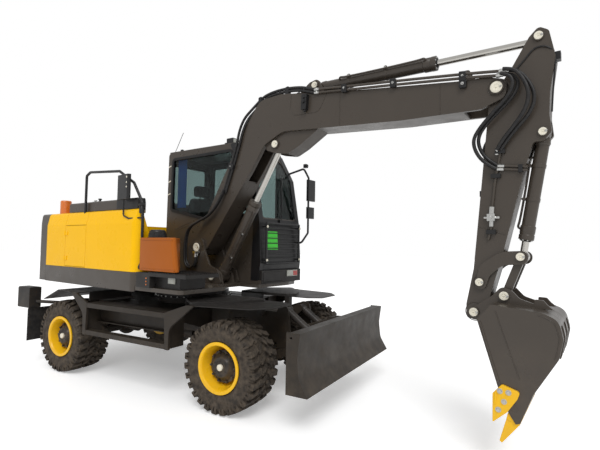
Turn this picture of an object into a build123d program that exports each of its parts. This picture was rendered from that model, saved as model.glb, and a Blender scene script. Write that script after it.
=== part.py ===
"""Compact wheeled excavator, in millimetres, as separate named pieces.

Frame: +X forward, +Y to the machine's left, +Z up, origin on the ground under
the slew axis. The upper structure is drawn square to its own axes and then
swung by REST_SWING about the slew axis, which is how the machine is parked.
"""

from build123d import *
from math import atan2, cos, degrees, hypot, radians, sin
import os

# ---------------------------------------------------------------- sizes
REST_SWING = -6.0           # parked swing of the upper structure, degrees

WHEELBASE = 2420
TRACK = 1510                # between the tyres' middle planes
TYRE_DIAMETER = 840
TYRE_WIDTH = 378
TYRE_LUGS = 24              # to a row, of which a tyre has two; a multiple of 4, so each wheel stands on one
TYRE_PITCH = 360 / TYRE_LUGS
LUG_WIDTH = 56
LUG_HEIGHT = 25
LUG_DROP = 3                # a lug's flat top lies this far inside the tyre's radius at its middle
LUG_SLANT = 16
LUG_INNER_END = 14          # from the tyre's middle plane
BEAD_RADIUS = 208           # tyre's inside, seated on the rim
RIM_FLANGE_RADIUS = 232
RIM_HALF_WIDTH = 186
RIM_WALL = 12
RIM_DISC_OFFSET = -10       # disc face, outward from the tyre's middle plane
HUB_RADIUS = 92
HUB_OUTER_FACE = 98         # planetary cap's face, outward from the middle plane
FIT_GAP = 0.3               # clearance left between faces of two moving pieces
HINGE_RADIUS = 8
HINGE_LENGTH = 46           # of one knuckle
WORK_GAP = 6                # free air between pieces that pass one another

KINGPIN_Y = 520
KNUCKLE_ARM_REACH = 140
KNUCKLE_ARM_IN = 84
ROD_RADIUS = 17
YOKE_HALF_HEIGHT = 118
YOKE_PLATE = 26

FRAME_HALF_WIDTH = 285      # middle of the chassis box
FRAME_NOSE_HALF_WIDTH = 235 # between the steered wheels
FRAME_BOTTOM = 545
FRAME_TOP = 850
FRAME_PLATE = 14
FRAME_FRONT_X = 1395         # the box's front wall, behind the blade's pins
FRAME_REAR_X = -1500
RING_RADIUS = 430
RING_BOTTOM = 905
RING_SPLIT = 985            # the slew bearing's moving half starts here
DECK_BOTTOM = 1045
DECK_TOP = 1085

STEP_OUTER_Y = 985
STEP_INNER_Y = 760
STEP_REAR_X = -690
STEP_FRONT_X = 600
STEP_TOP = 862
STEP_BOTTOM = 510
STEP_RAIL_HEIGHT = 52
STEP_SIDE_PLATE = 26
FENDER_PLATE = 8
FENDER_TOP = 958

BLADE_HALF_WIDTH = 977
BLADE_TOP = 832
BLADE_BOTTOM = 336
BLADE_FACE_X = 2078         # front of the top edge
BLADE_TOE_X = 2150          # front of the cutting edge
BLADE_REAR_X = 1950
BLADE_SKIN = 14
ARM_PIN_CHASSIS = (1470, 455)
ARM_PIN_BLADE = (1900, 600)
LINK_RISE = 190             # upper link's pins above the lower arms' pins
BLADE_ARM_Y = 300
BLADE_CYL_Y = 150
BLADE_CYL_HEAD = (1458, 862)
BLADE_CYL_EYE = (1815, 612)

BODY_HALF_WIDTH = 950
DECK_HALF_WIDTH = 925       # the skirts hang outside the deck
TAIL_X = -2130
HOOD_TOP = 1900             # tall part beside the boom
HOOD_LEFT_TOP = 1760        # lower part behind the cab
HOOD_BEND = 1745            # the side panel leans in above this height
SKIRT_TOP = 1232
HOOD_FRONT_X = 205
PANEL = 22                  # whole thickness of a hood or cab panel

CAB_RIGHT_Y = 168
CAB_LEFT_Y = 945
CAB_REAR_X = -800
CAB_FLOOR = 1120
CAB_ROOF = 2800
CAB_WALL = 40
GLASS = 8

BOOM_HALF_WIDTH = 125
BOOM_PLATE = 16
BOOM_FOOT = (222, 1497)
BOOM_TIP = (3501, 2745)
BOOM_CYL_FOOT = (490, 1165)
BOOM_CYL_EYE = (1345, 2596)
ARM_CYL_HEAD = (1833, 3126)
ARM_CYL_EYE = (3777, 3080)
BUCKET_CYL_HEAD = (3797, 2376)
ROD_PIN = (3650, 1480)
GUIDE_PIN = (3371, 1282)
BUCKET_PIN = (3331, 1056)
BUCKET_LINK_PIN = (3541, 1193)
ARM_HALF_WIDTH = 90
ARM_PLATE = 12
LINK_HALF_DEPTH = 28
BUCKET_HALF_WIDTH = 310
BUCKET_PLATE = 12

os.makedirs("parts", exist_ok=True)
parts = {}


# ---------------------------------------------------------------- helpers
def side(rows, y0, y1):
    """Prism of a side-view outline; each row is x, z, corner radius."""
    points = [(x, y0, z) for x, z, r in rows]
    wire = FilletPolyline(points, radius=[r for x, z, r in rows], close=True)
    return extrude(make_face(wire), amount=y1 - y0, dir=(0, 1, 0))


def plan(rows, z0, z1):
    """Prism of a top-view outline; each row is x, y, corner radius."""
    points = [(x, y, z0) for x, y, r in rows]
    wire = FilletPolyline(points, radius=[r for x, y, r in rows], close=True)
    return extrude(make_face(wire), amount=z1 - z0, dir=(0, 0, 1))


def front(rows, x0, x1):
    """Prism of a front-view outline; each row is y, z, corner radius."""
    points = [(x0, y, z) for y, z, r in rows]
    wire = FilletPolyline(points, radius=[r for y, z, r in rows], close=True)
    return extrude(make_face(wire), amount=x1 - x0, dir=(1, 0, 0))


def block(x0, x1, y0, y1, z0, z1):
    """Plain box between two corners."""
    centre = Pos((x0 + x1) / 2, (y0 + y1) / 2, (z0 + z1) / 2)
    return centre * Box(abs(x1 - x0), abs(y1 - y0), abs(z1 - z0))


def bar(start, end, radius):
    """Round bar between two points."""
    run = Vector(end) - Vector(start)
    base = Plane(origin=start, z_dir=run)
    return base * Cylinder(radius, run.length, align=(Align.CENTER, Align.CENTER, Align.MIN))


def cross_bar(pin, radius, y0, y1):
    """Round bar along Y through the side-view point pin."""
    return bar((pin[0], y0, pin[1]), (pin[0], y1, pin[1]), radius)


def tube_path(points, radius, bend):
    """Bent round tube through points, with one bend radius."""
    path = FilletPolyline(points, radius=bend)
    start = Plane(origin=path @ 0, z_dir=path % 0)
    return sweep(start * Circle(radius), path=path)


def fuse(pieces):
    """One solid from overlapping pieces."""
    pieces = list(pieces)
    joined = pieces[0]
    for piece in pieces[1:]:
        joined = joined + piece
    return joined


def both_sides(shape):
    """A piece and its mirror image about the centre plane."""
    return [shape, mirror(shape, about=Plane.XZ)]


def plates(rows, inner, outer):
    """The same side-view plate on the left and on the right."""
    return both_sides(side(rows, inner, outer))


def box_section(rows, half_width, plate):
    """Welded hollow beam: a side outline with walls of one plate thickness."""
    points = [(x, 0, z) for x, z, r in rows]
    wire = FilletPolyline(points, radius=[r for x, z, r in rows], close=True)
    face = make_face(wire)
    outside = extrude(face, amount=half_width, dir=(0, 1, 0), both=True)
    core = offset(face, amount=-plate)
    inside = extrude(core, amount=half_width - plate, dir=(0, 1, 0), both=True)
    return outside - inside


def distance(p, q):
    """Length between two side-view points."""
    return hypot(q[0] - p[0], q[1] - p[1])


def toward(p, q, length, y=0.0):
    """Point at a length from p on the line to q, in the plane y."""
    share = length / distance(p, q)
    return (p[0] + (q[0] - p[0]) * share, y, p[1] + (q[1] - p[1]) * share)


def cylinder_barrel(head, eye, share, radius, eye_radius, eye_half, y=0.0, bore=None):
    """Barrel of a hydraulic cylinder from its head pin; share of the pin distance."""
    bore = bore or radius * 0.62
    length = distance(head, eye) * share
    outer = bar(toward(head, eye, eye_radius * 0.6, y), toward(head, eye, length, y), radius)
    gland = bar(toward(head, eye, length - 0.7 * radius, y), toward(head, eye, length, y), radius * 1.14)
    base = bar(toward(head, eye, eye_radius * 0.9, y), toward(head, eye, eye_radius + 0.5 * radius, y), radius * 1.08)
    boss = cross_bar(head, eye_radius, y - eye_half, y + eye_half)
    hollow = bar(toward(head, eye, eye_radius + 0.9 * radius, y), toward(head, eye, length + 1, y), bore)
    return outer + gland + base + boss - hollow


def cylinder_rod(head, eye, share, barrel_radius, radius, eye_radius, eye_half, y=0.0, overlap=0.30):
    """Rod and piston of a hydraulic cylinder, with its eye."""
    reach = distance(head, eye)
    inside = reach * (share - overlap)
    shaft = bar(toward(head, eye, inside, y), toward(head, eye, reach - eye_radius * 0.5, y), radius)
    piston = bar(toward(head, eye, inside, y), toward(head, eye, inside + barrel_radius * 0.5, y),
                 barrel_radius * 0.62 - FIT_GAP)
    boss = cross_bar(eye, eye_radius, y - eye_half, y + eye_half)
    return shaft + piston + boss


def add(name, shape, upper=False):
    """Keep a piece under its node name; upper pieces take the parked swing."""
    if isinstance(shape, (list, tuple)):
        shape = Compound(children=list(shape))
    if upper:
        shape = Rot(0, 0, REST_SWING) * shape
    parts[name] = shape


# ---------------------------------------------------------------- wheels
FRONT_AXLE_X = WHEELBASE / 2
REAR_AXLE_X = -WHEELBASE / 2
AXLE_Z = TYRE_DIAMETER / 2
WHEEL_Y = TRACK / 2


def wheel_plane(x, sign):
    """Plane whose Z axis points outward along a wheel's axle."""
    return Plane(origin=(x, sign * WHEEL_Y, AXLE_Z), x_dir=(1, 0, 0), z_dir=(0, sign, 0))


def ring_faces(rows, count):
    """Flat faces of a ring that is turned in count steps from a closed section of (radius, axial) rows."""
    corner = cos(radians(180 / count))
    faces = []
    for n in range(count):
        starts, ends = [
            [(r / corner * cos(radians(turn)), r / corner * sin(radians(turn)), a) for r, a in rows]
            for turn in ((n - 0.5) * 360 / count, (n + 0.5) * 360 / count)
        ]
        for k in range(len(rows)):
            outline = [starts[k - 1], starts[k], ends[k], ends[k - 1]]
            faces.append(Face(Wire.make_polygon(outline)))
    return faces


def tyre():
    """Wide flotation tyre: a carcass with a flat to each lug, and two staggered rows of slanted lugs."""
    crown = TYRE_DIAMETER / 2 - LUG_HEIGHT - LUG_DROP
    half = TYRE_WIDTH / 2
    carcass_rows = [
        # radius, axial
        (BEAD_RADIUS, -half + 29),
        (crown - 70, -half),
        (crown, -half + 24),
        (crown, half - 24),
        (crown - 70, half),
        (BEAD_RADIUS, half - 29),
    ]
    carcass = Solid(Shell(ring_faces(carcass_rows, TYRE_LUGS)))
    tread = crown + LUG_HEIGHT
    lug_rows = [
        # radius, axial
        (crown - 8, LUG_INNER_END),
        (tread, LUG_INNER_END + 4),
        (tread - 10, half - 12),
        (crown - 52, half - 8),
    ]
    section = make_face(Polyline([(r, 0, a) for r, a in lug_rows], close=True))
    middle = (LUG_INNER_END + half) / 2
    lug = extrude(section, LUG_WIDTH / 2, both=True)
    slanted = Pos(0, 0, middle) * Rot(LUG_SLANT, 0, 0) * Pos(0, 0, -middle) * lug
    turned = Rot(0, 0, TYRE_PITCH / 2) * mirror(slanted, about=Plane.XY)
    lugs = [Rot(0, 0, TYRE_PITCH * n) * shape for n in range(TYRE_LUGS) for shape in (slanted, turned)]
    return fuse([carcass] + lugs)


def rim():
    """Deep-dished rim with its disc, planetary hub and wheel studs."""
    w = RIM_HALF_WIDTH
    flange = RIM_FLANGE_RADIUS
    barrel = BEAD_RADIUS - FIT_GAP
    inner = barrel - RIM_WALL
    rows = [
        # radius, axial
        (inner, -w),
        (flange, -w),
        (flange, -w + RIM_WALL),
        (barrel, -w + RIM_WALL + 8),
        (barrel, w - RIM_WALL - 8),
        (flange, w - RIM_WALL),
        (flange, w),
        (inner + 8, w),
        (inner, w - 14),
        (inner - 26, 62),
        (inner - 42, RIM_DISC_OFFSET + 34),
        (inner - 52, RIM_DISC_OFFSET),
        (HUB_RADIUS - 20, RIM_DISC_OFFSET),
        (HUB_RADIUS - 20, RIM_DISC_OFFSET - 14),
        (inner - 46, RIM_DISC_OFFSET - 14),
        (inner - 14, RIM_DISC_OFFSET + 20),
        (inner, -20),
    ]
    wire = Polyline([(r, 0, a) for r, a in rows], close=True)
    body = revolve(make_face(wire), axis=Axis.Z)
    hub_rows = [
        # radius, axial
        (0, RIM_DISC_OFFSET - 60),
        (HUB_RADIUS, RIM_DISC_OFFSET - 60),
        (HUB_RADIUS, RIM_DISC_OFFSET - 2),
        (HUB_RADIUS + 24, RIM_DISC_OFFSET - 2),
        (HUB_RADIUS + 24, RIM_DISC_OFFSET + 16),
        (HUB_RADIUS - 6, RIM_DISC_OFFSET + 20),
        (HUB_RADIUS - 12, HUB_OUTER_FACE - 14),
        (HUB_RADIUS - 24, HUB_OUTER_FACE),
        (34, HUB_OUTER_FACE),
        (30, HUB_OUTER_FACE + 12),
        (0, HUB_OUTER_FACE + 12),
    ]
    hub_wire = Polyline([(r, 0, a) for r, a in hub_rows], close=True)
    hub = revolve(make_face(hub_wire), axis=Axis.Z)
    studs = [Pos(HUB_RADIUS + 12, 0, RIM_DISC_OFFSET + 22) * Cylinder(8, 20)]
    ring = [Rot(0, 0, 36 * n) * studs[0] for n in range(10)]
    return fuse([body, hub] + ring)


WHEELS = [
    # name, axle x, side
    ("front_left", FRONT_AXLE_X, 1),
    ("front_right", FRONT_AXLE_X, -1),
    ("rear_left", REAR_AXLE_X, 1),
    ("rear_right", REAR_AXLE_X, -1),
]


def make_wheels():
    """Four tyres on four rims."""
    tyre_shape = tyre()
    rim_shape = rim()
    for name, x, sign in WHEELS:
        where = wheel_plane(x, sign)
        add("tyre_" + name, where * tyre_shape)
        add("rim_" + name, where * rim_shape)


# ---------------------------------------------------------------- axles and steering
SPINDLE_IN = WHEEL_Y + RIM_DISC_OFFSET - 60 - FIT_GAP    # hub's inboard face


def make_rear_axle():
    """Rigid drive axle with its centre casting, bolted under the chassis."""
    z = AXLE_Z
    x = REAR_AXLE_X
    tubes = bar((x, -SPINDLE_IN + 12, z), (x, SPINDLE_IN - 12, z), 62)
    ends = [bar((x, s * (SPINDLE_IN - 90), z), (x, s * SPINDLE_IN, z), 88) for s in (1, -1)]
    bowl = Pos(x, 0, z) * Sphere(124)
    nose = bar((x + 60, 0, z + 10), (x + 235, 0, z + 10), 74)
    seats = both_sides(block(x - 70, x + 70, 150, 230, z + 30, FRAME_BOTTOM))
    add("rear_axle", fuse([tubes, bowl, nose] + ends + seats))


def make_front_axle():
    """Steering drive axle: centre casting, arms, forked ends and ram."""
    z = AXLE_Z
    x = FRONT_AXLE_X
    fork_x = 36
    arms = bar((x, -KINGPIN_Y + 95, z), (x, KINGPIN_Y - 95, z), 48)
    bowl = Pos(x, 0, z) * Sphere(124)
    nose = bar((x - 220, 0, z + 10), (x - 60, 0, z + 10), 70)
    saddle = block(x - 60, x + 60, -70, 70, z + 80, FRAME_BOTTOM)
    pieces = [arms, bowl, nose, saddle]
    for s in (1, -1):
        back = block(x - fork_x, x + fork_x, s * (KINGPIN_Y - 125), s * (KINGPIN_Y - 82),
                     z - YOKE_HALF_HEIGHT, z + YOKE_HALF_HEIGHT)
        pieces.append(back)
        for top in (1, -1):
            z_out = z + top * YOKE_HALF_HEIGHT
            z_in = z + top * (YOKE_HALF_HEIGHT - YOKE_PLATE)
            pieces.append(block(x - 40, x + 40, s * (KINGPIN_Y - 125), s * KINGPIN_Y, z_in, z_out))
            pieces.append(bar((x, s * KINGPIN_Y, min(z_in, z_out)), (x, s * KINGPIN_Y, max(z_in, z_out)), 42))
    ram_z = z + 74
    ram_x = x + KNUCKLE_ARM_REACH
    ram = bar((ram_x, -190, ram_z), (ram_x, 190, ram_z), 40)
    bore = bar((ram_x, -191, ram_z), (ram_x, 191, ram_z), ROD_RADIUS + FIT_GAP)
    clamp = block(x + 40, ram_x - 10, -70, 70, ram_z - 36, ram_z - 8)
    add("front_axle", fuse(pieces + [ram, clamp]) - bore)


def make_knuckles():
    """Steering knuckles between the forks, each with its steering arm."""
    z = AXLE_Z
    x = FRONT_AXLE_X
    inner = YOKE_HALF_HEIGHT - YOKE_PLATE - 1.5
    for name, s in (("left", 1), ("right", -1)):
        post = bar((x, s * KINGPIN_Y, z - inner), (x, s * KINGPIN_Y, z + inner), 44)
        body = bar((x, s * (KINGPIN_Y + 9), z), (x, s * SPINDLE_IN, z), 86)
        arm_z = z + 30
        arm = plan([
            # x, y, radius
            (x + 12, s * (KINGPIN_Y - 21), 0),
            (x + KNUCKLE_ARM_REACH + 24, s * (KINGPIN_Y - KNUCKLE_ARM_IN - 24), 12),
            (x + KNUCKLE_ARM_REACH + 24, s * (KINGPIN_Y - KNUCKLE_ARM_IN + 24), 12),
            (x + 12, s * (KINGPIN_Y + 46), 0),
        ], arm_z - 8, arm_z + 12)
        add("knuckle_" + name, fuse([post, body, arm]))


def make_steering_rod():
    """Double-ended steering ram rod with its tie-rod ends over the arms."""
    z = AXLE_Z + 74
    x = FRONT_AXLE_X + KNUCKLE_ARM_REACH
    reach = KINGPIN_Y - KNUCKLE_ARM_IN
    rod = bar((x, -reach + 20, z), (x, reach - 20, z), ROD_RADIUS)
    ends = []
    for s in (1, -1):
        ends.append(bar((x, s * reach, z - 27), (x, s * reach, z + 20), 23))
        ends.append(bar((x, s * (reach - 20), z), (x, s * (reach - 62), z), 21))
    add("steering_rod", fuse([rod] + ends))


def make_driveline():
    """Drop gearbox with its motor and the two propeller shafts."""
    z = AXLE_Z + 10
    gearbox = block(-360, -180, -120, 120, 330, FRAME_BOTTOM)
    motor = bar((-182, 0, 455), (60, 0, 455), 78)
    flange = bar((-380, 0, z), (-160, 0, z), 52)
    rear = bar((REAR_AXLE_X + 235, 0, z), (-378, 0, z), 34)
    ahead = bar((60, 0, z), (90, 0, z), 50)
    shaft = bar((88, 0, z), (FRONT_AXLE_X - 220, 0, z), 34)
    add("driveline", fuse([gearbox, motor, flange, rear, ahead, shaft]))


# ---------------------------------------------------------------- chassis
def make_chassis():
    """Welded chassis box with slew tower, nose for the blade and side outriggers."""
    half = FRAME_HALF_WIDTH
    nose = FRAME_NOSE_HALF_WIDTH
    outer = plan([
        # x, y, radius
        (FRAME_REAR_X, -nose, 0), (-760, -nose, 60), (-560, -half, 60), (560, -half, 60), (760, -nose, 60),
        (FRAME_FRONT_X, -nose, 0), (FRAME_FRONT_X, nose, 0), (760, nose, 60), (560, half, 60),
        (-560, half, 60), (-760, nose, 60), (FRAME_REAR_X, nose, 0),
    ], FRAME_BOTTOM, FRAME_TOP)
    t = FRAME_PLATE
    inner = plan([
        # x, y, radius
        (FRAME_REAR_X + t, -nose + t, 0), (-760, -nose + t, 60), (-560, -half + t, 60), (560, -half + t, 60),
        (760, -nose + t, 60), (FRAME_FRONT_X - t, -nose + t, 0), (FRAME_FRONT_X - t, nose - t, 0),
        (760, nose - t, 60), (560, half - t, 60), (-560, half - t, 60), (-760, nose - t, 60),
        (FRAME_REAR_X + t, nose - t, 0),
    ], FRAME_BOTTOM - 1, FRAME_TOP - t)
    tower = Pos(0, 0, (FRAME_TOP - 20 + RING_BOTTOM) / 2) * Cylinder(RING_RADIUS - 20, RING_BOTTOM - FRAME_TOP + 20)
    tower = tower - Pos(0, 0, 860) * Cylinder(RING_RADIUS - 60, 400)
    box = outer - inner
    crosses = [
        block(x - 8, x + 8, -nose + 2, nose - 2, FRAME_BOTTOM, FRAME_TOP - 2)
        for x in (REAR_AXLE_X - 90, REAR_AXLE_X + 90, -330, 330, FRONT_AXLE_X - 90, FRONT_AXLE_X + 90)
    ]
    saddles = [
        block(REAR_AXLE_X - 70, REAR_AXLE_X + 70, -nose + 2, nose - 2, FRAME_BOTTOM, FRAME_BOTTOM + 20),
        block(FRONT_AXLE_X - 60, FRONT_AXLE_X + 60, -nose + 2, nose - 2, FRAME_BOTTOM, FRAME_BOTTOM + 20),
        block(-360, -180, -half + 2, half - 2, FRAME_BOTTOM, FRAME_BOTTOM + 20),
    ]
    outriggers = []
    for x in (STEP_REAR_X + 30, -70, STEP_FRONT_X - 60):
        rib = front([
            # y, z, radius
            (nose - 5, FRAME_BOTTOM + 20, 0), (STEP_INNER_Y, STEP_TOP - 120, 0),
            (STEP_INNER_Y, STEP_TOP - 10, 0), (nose - 5, STEP_TOP - 10, 0),
        ], x - 12, x + 12)
        outriggers += both_sides(rib)
    deck = block(STEP_REAR_X, STEP_FRONT_X, -STEP_INNER_Y, STEP_INNER_Y, STEP_TOP - 20, STEP_TOP - 10)
    deck = deck - Pos(0, 0, 850) * Cylinder(RING_RADIUS - 60, 400)
    x = FRAME_FRONT_X - 15
    cheeks = plates([
        # x, z, radius
        (x, FRAME_TOP, 0), (x, 360, 20), (1430, 360, 0), (1520, 400, 20), (1545, 640, 40), (1510, 915, 40),
        (1400, 915, 40),
    ], nose - 20, nose)
    keeps = [
        cross_bar(ARM_PIN_CHASSIS, 40, -BLADE_ARM_Y + 22, BLADE_ARM_Y - 22),
        block(x, FRAME_FRONT_X, -nose + 2, nose - 2, FRAME_BOTTOM, FRAME_TOP - 2),
    ]
    link_pin = link_point(ARM_PIN_CHASSIS)
    link_ears = plates([
        # x, z, radius
        (x, link_pin[1] + 70, 0), (x, link_pin[1] - 70, 0), (link_pin[0] + 36, link_pin[1] - 36, 34),
        (link_pin[0] + 36, link_pin[1] + 36, 34),
    ], 34, 50)
    link_caps = [cross_bar(link_pin, 24, s * 34, s * 62) for s in (1, -1)]
    head = BLADE_CYL_HEAD
    head_rows = [
        # x, z, radius
        (x, head[1] + 10, 0), (x, head[1] - 120, 0), (head[0] + 34, head[1] - 20, 20),
        (head[0] + 34, head[1] + 36, 30), (head[0] - 30, head[1] + 36, 20),
    ]
    head_ears = []
    for y in (BLADE_CYL_Y - 60, BLADE_CYL_Y + 44):
        head_ears += plates(head_rows, y, y + 16)
    tail = plates([
        # x, z, radius
        (FRAME_REAR_X, FRAME_BOTTOM, 0), (-1560, FRAME_BOTTOM + 40, 20), (-1560, FRAME_TOP - 20, 20),
        (FRAME_REAR_X, FRAME_TOP, 0),
    ], 60, 78)
    hitch = block(FRAME_REAR_X - 12, FRAME_REAR_X + 2, -150, 150, FRAME_BOTTOM, FRAME_TOP - 20)
    hitch_eye = cross_bar((-1535, 640), 18, -60, 60)
    frame = fuse([box, tower, deck] + crosses + saddles + outriggers + cheeks + keeps + tail
                 + [hitch, hitch_eye] + link_ears + link_caps + head_ears)
    add("chassis_frame", frame)


def make_slew_ring():
    """Fixed half of the slew bearing with its flange."""
    fixed = Pos(0, 0, (RING_BOTTOM + RING_SPLIT) / 2) * Cylinder(RING_RADIUS, RING_SPLIT - RING_BOTTOM - 1)
    flange = Pos(0, 0, RING_BOTTOM + 10) * Cylinder(RING_RADIUS + 30, 18)
    hole = Pos(0, 0, RING_BOTTOM) * Cylinder(RING_RADIUS - 90, 400)
    add("slew_ring", fixed + flange - hole)


def make_side_steps():
    """Open side steps: two rails between end plates that rise into the arches."""
    front_plate = side([
        # x, z, radius
        (STEP_FRONT_X - 20, STEP_BOTTOM, 8), (STEP_FRONT_X + 26, STEP_BOTTOM, 4), (STEP_FRONT_X + 30, 720, 130),
        (STEP_FRONT_X + 330, FENDER_TOP - FENDER_PLATE, 0), (STEP_FRONT_X + 330, FENDER_TOP, 0),
        (STEP_FRONT_X + 250, FENDER_TOP, 30), (STEP_FRONT_X - 40, STEP_TOP, 10),
    ], STEP_OUTER_Y - STEP_SIDE_PLATE, STEP_OUTER_Y)
    rear_plate = side([
        # x, z, radius
        (STEP_REAR_X + 26, STEP_BOTTOM, 8), (STEP_REAR_X - 22, STEP_BOTTOM, 4), (STEP_REAR_X - 30, 745, 110),
        (STEP_REAR_X - 250, FENDER_TOP - FENDER_PLATE, 0), (STEP_REAR_X - 250, FENDER_TOP, 0),
        (STEP_REAR_X - 170, FENDER_TOP, 30), (STEP_REAR_X + 40, STEP_TOP, 10),
    ], STEP_OUTER_Y - STEP_SIDE_PLATE, STEP_OUTER_Y)
    top_rail = block(STEP_REAR_X, STEP_FRONT_X, STEP_OUTER_Y - 60, STEP_OUTER_Y - 2, STEP_TOP - STEP_RAIL_HEIGHT,
                     STEP_TOP - 2)
    low_rail = block(STEP_REAR_X, STEP_FRONT_X, STEP_OUTER_Y - 90, STEP_OUTER_Y - 2, STEP_BOTTOM + 4,
                     STEP_BOTTOM + STEP_RAIL_HEIGHT)
    ends = [
        block(x, x + 14, STEP_INNER_Y, STEP_OUTER_Y - 4, STEP_BOTTOM + 4, STEP_TOP - 4)
        for x in (STEP_REAR_X - 6, STEP_FRONT_X - 8)
    ]
    back = block(STEP_REAR_X, STEP_FRONT_X, STEP_INNER_Y, STEP_INNER_Y + 12, STEP_BOTTOM + 120, STEP_TOP - 4)
    floor = block(STEP_REAR_X, STEP_FRONT_X, STEP_INNER_Y, STEP_OUTER_Y - 30, STEP_TOP - 10, STEP_TOP - 4)
    shelf = block(STEP_REAR_X, STEP_FRONT_X, STEP_INNER_Y, STEP_OUTER_Y - 150, STEP_BOTTOM + 120, STEP_BOTTOM + 130)
    step = fuse([front_plate, rear_plate, top_rail, low_rail, back, floor, shelf] + ends)
    add("side_steps", both_sides(step))


def make_fenders():
    """Mudguard plates over the wheels, bent down at their ends."""
    z = FENDER_TOP
    t = FENDER_PLATE
    nose = FRAME_NOSE_HALF_WIDTH
    guard_y = STEP_OUTER_Y - STEP_SIDE_PLATE
    front_guard = plan([
        # x, y, radius
        (STEP_FRONT_X + 250, nose, 0), (STEP_FRONT_X + 250, guard_y, 0), (STEP_FRONT_X + 330, guard_y, 20),
        (1480, 840, 60), (1620, 660, 60), (1620, 330, 60), (1480, nose, 30),
    ], z - t, z)
    deck = plan([
        # x, y, radius
        (560, nose, 0), (560, 700, 60), (STEP_FRONT_X + 260, 940, 60), (1180, 560, 160), (1290, 300, 60),
        (1200, nose, 0),
    ], z - 1, z + 22)
    post = block(1180, 1240, nose, 300, 800, z - t + 1)
    skirt = block(560, 568, nose, 700, STEP_TOP - 10, z + 10)
    front_pair = both_sides(fuse([front_guard, deck, post, skirt]))
    add("front_fenders", front_pair)
    rear_guard = plan([
        # x, y, radius
        (STEP_REAR_X - 170, nose, 0), (STEP_REAR_X - 170, guard_y, 0), (STEP_REAR_X - 330, guard_y, 30),
        (-1340, 900, 30), (-1340, nose, 0),
    ], z - t, z)
    tail_flap = side([
        # x, z, radius
        (-1330, z - t, 0), (-1330, z, 0), (-1345, z, 0), (-1640, z - 130, 0), (-1640, z - 138, 0),
    ], nose, 900)
    web = block(STEP_REAR_X - 172, STEP_REAR_X - 160, nose, STEP_INNER_Y + 60, STEP_TOP - 10, z - 1)
    rail = block(FRAME_REAR_X, STEP_REAR_X - 162, nose, nose + 12, FRAME_TOP - 60, z - 1)
    add("rear_fenders", both_sides(fuse([rear_guard, tail_flap, web, rail])))


def make_rear_lamps():
    """Rear lamp boxes on their bracket arms behind the wheels."""
    beam = block(-1605, -1560, -620, 620, 716, 768)
    lamps = [beam]
    flaps = []
    for s in (1, -1):
        body = block(-2070, -1810, s * 840, s * 985, 700, 960)
        body = fillet(body.edges().filter_by(Axis.X), 18)
        arm = bar((-1812, s * 900, 780), (-1590, s * 590, 742), 20)
        lamps += [body, arm]
        flaps.append(block(-1842, -1830, s * 700, s * 980, 300, 699))
    add("rear_lamps", fuse(lamps))
    add("mud_flaps", flaps)


# ---------------------------------------------------------------- blade
def link_point(pin):
    """Upper link's pin above a lower arm's pin."""
    return (pin[0], pin[1] + LINK_RISE)


def make_blade():
    """Curved mouldboard with side plates, cutting edge and rear lugs."""
    skin = side([
        # x, z, radius
        (BLADE_FACE_X, BLADE_TOP, 0), (BLADE_FACE_X - 26, 640, 300), (BLADE_FACE_X - 8, 470, 160),
        (BLADE_TOE_X, BLADE_BOTTOM, 0), (BLADE_TOE_X - 40, BLADE_BOTTOM, 0), (BLADE_FACE_X - 44, 465, 160),
        (BLADE_FACE_X - 60, 640, 300), (BLADE_FACE_X - 40, BLADE_TOP, 0),
    ], -BLADE_HALF_WIDTH, BLADE_HALF_WIDTH)
    cheek_rows = [
        # x, z, radius
        (BLADE_REAR_X, BLADE_TOP, 0), (BLADE_FACE_X, BLADE_TOP, 0), (BLADE_FACE_X - 26, 640, 300),
        (BLADE_FACE_X - 8, 470, 160), (BLADE_TOE_X, BLADE_BOTTOM, 0), (BLADE_REAR_X, BLADE_BOTTOM, 0),
    ]
    cheeks = plates(cheek_rows, BLADE_HALF_WIDTH - BLADE_SKIN, BLADE_HALF_WIDTH)
    rim_top = block(BLADE_REAR_X + 30, BLADE_FACE_X - 20, -BLADE_HALF_WIDTH, BLADE_HALF_WIDTH, BLADE_TOP - 14, BLADE_TOP)
    beam = block(BLADE_REAR_X, BLADE_FACE_X - 40, -BLADE_HALF_WIDTH + 2, BLADE_HALF_WIDTH - 2, 560, 640)
    beam = beam - block(BLADE_REAR_X + 12, BLADE_FACE_X - 52, -BLADE_HALF_WIDTH + 20, BLADE_HALF_WIDTH - 20, 572, 628)
    lugs = []
    low = ARM_PIN_BLADE
    high = link_point(ARM_PIN_BLADE)
    for y in (BLADE_ARM_Y - 40, BLADE_ARM_Y + 24):
        lug = side([
            # x, z, radius
            (low[0] - 44, low[1] + 40, 36), (low[0] - 44, low[1] - 44, 36), (BLADE_FACE_X - 50, low[1] - 90, 0),
            (BLADE_FACE_X - 50, low[1] + 90, 0),
        ], y, y + 16)
        lugs += both_sides(lug)
    for y in (34, -50):
        lug = side([
            # x, z, radius
            (high[0] - 40, high[1] + 36, 32), (high[0] - 40, high[1] - 40, 32), (BLADE_FACE_X - 50, 640, 0),
            (BLADE_FACE_X - 45, BLADE_TOP - 2, 0), (BLADE_REAR_X, BLADE_TOP - 2, 0),
        ], y, y + 16)
        lugs.append(lug)
    holes = [cross_bar((BLADE_REAR_X + 44, 790), 11, s * BLADE_HALF_WIDTH - 20, s * BLADE_HALF_WIDTH + 20) for s in (1, -1)]
    body = fuse([skin, rim_top, beam] + cheeks + lugs)
    add("blade", body - holes[0] - holes[1])


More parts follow.
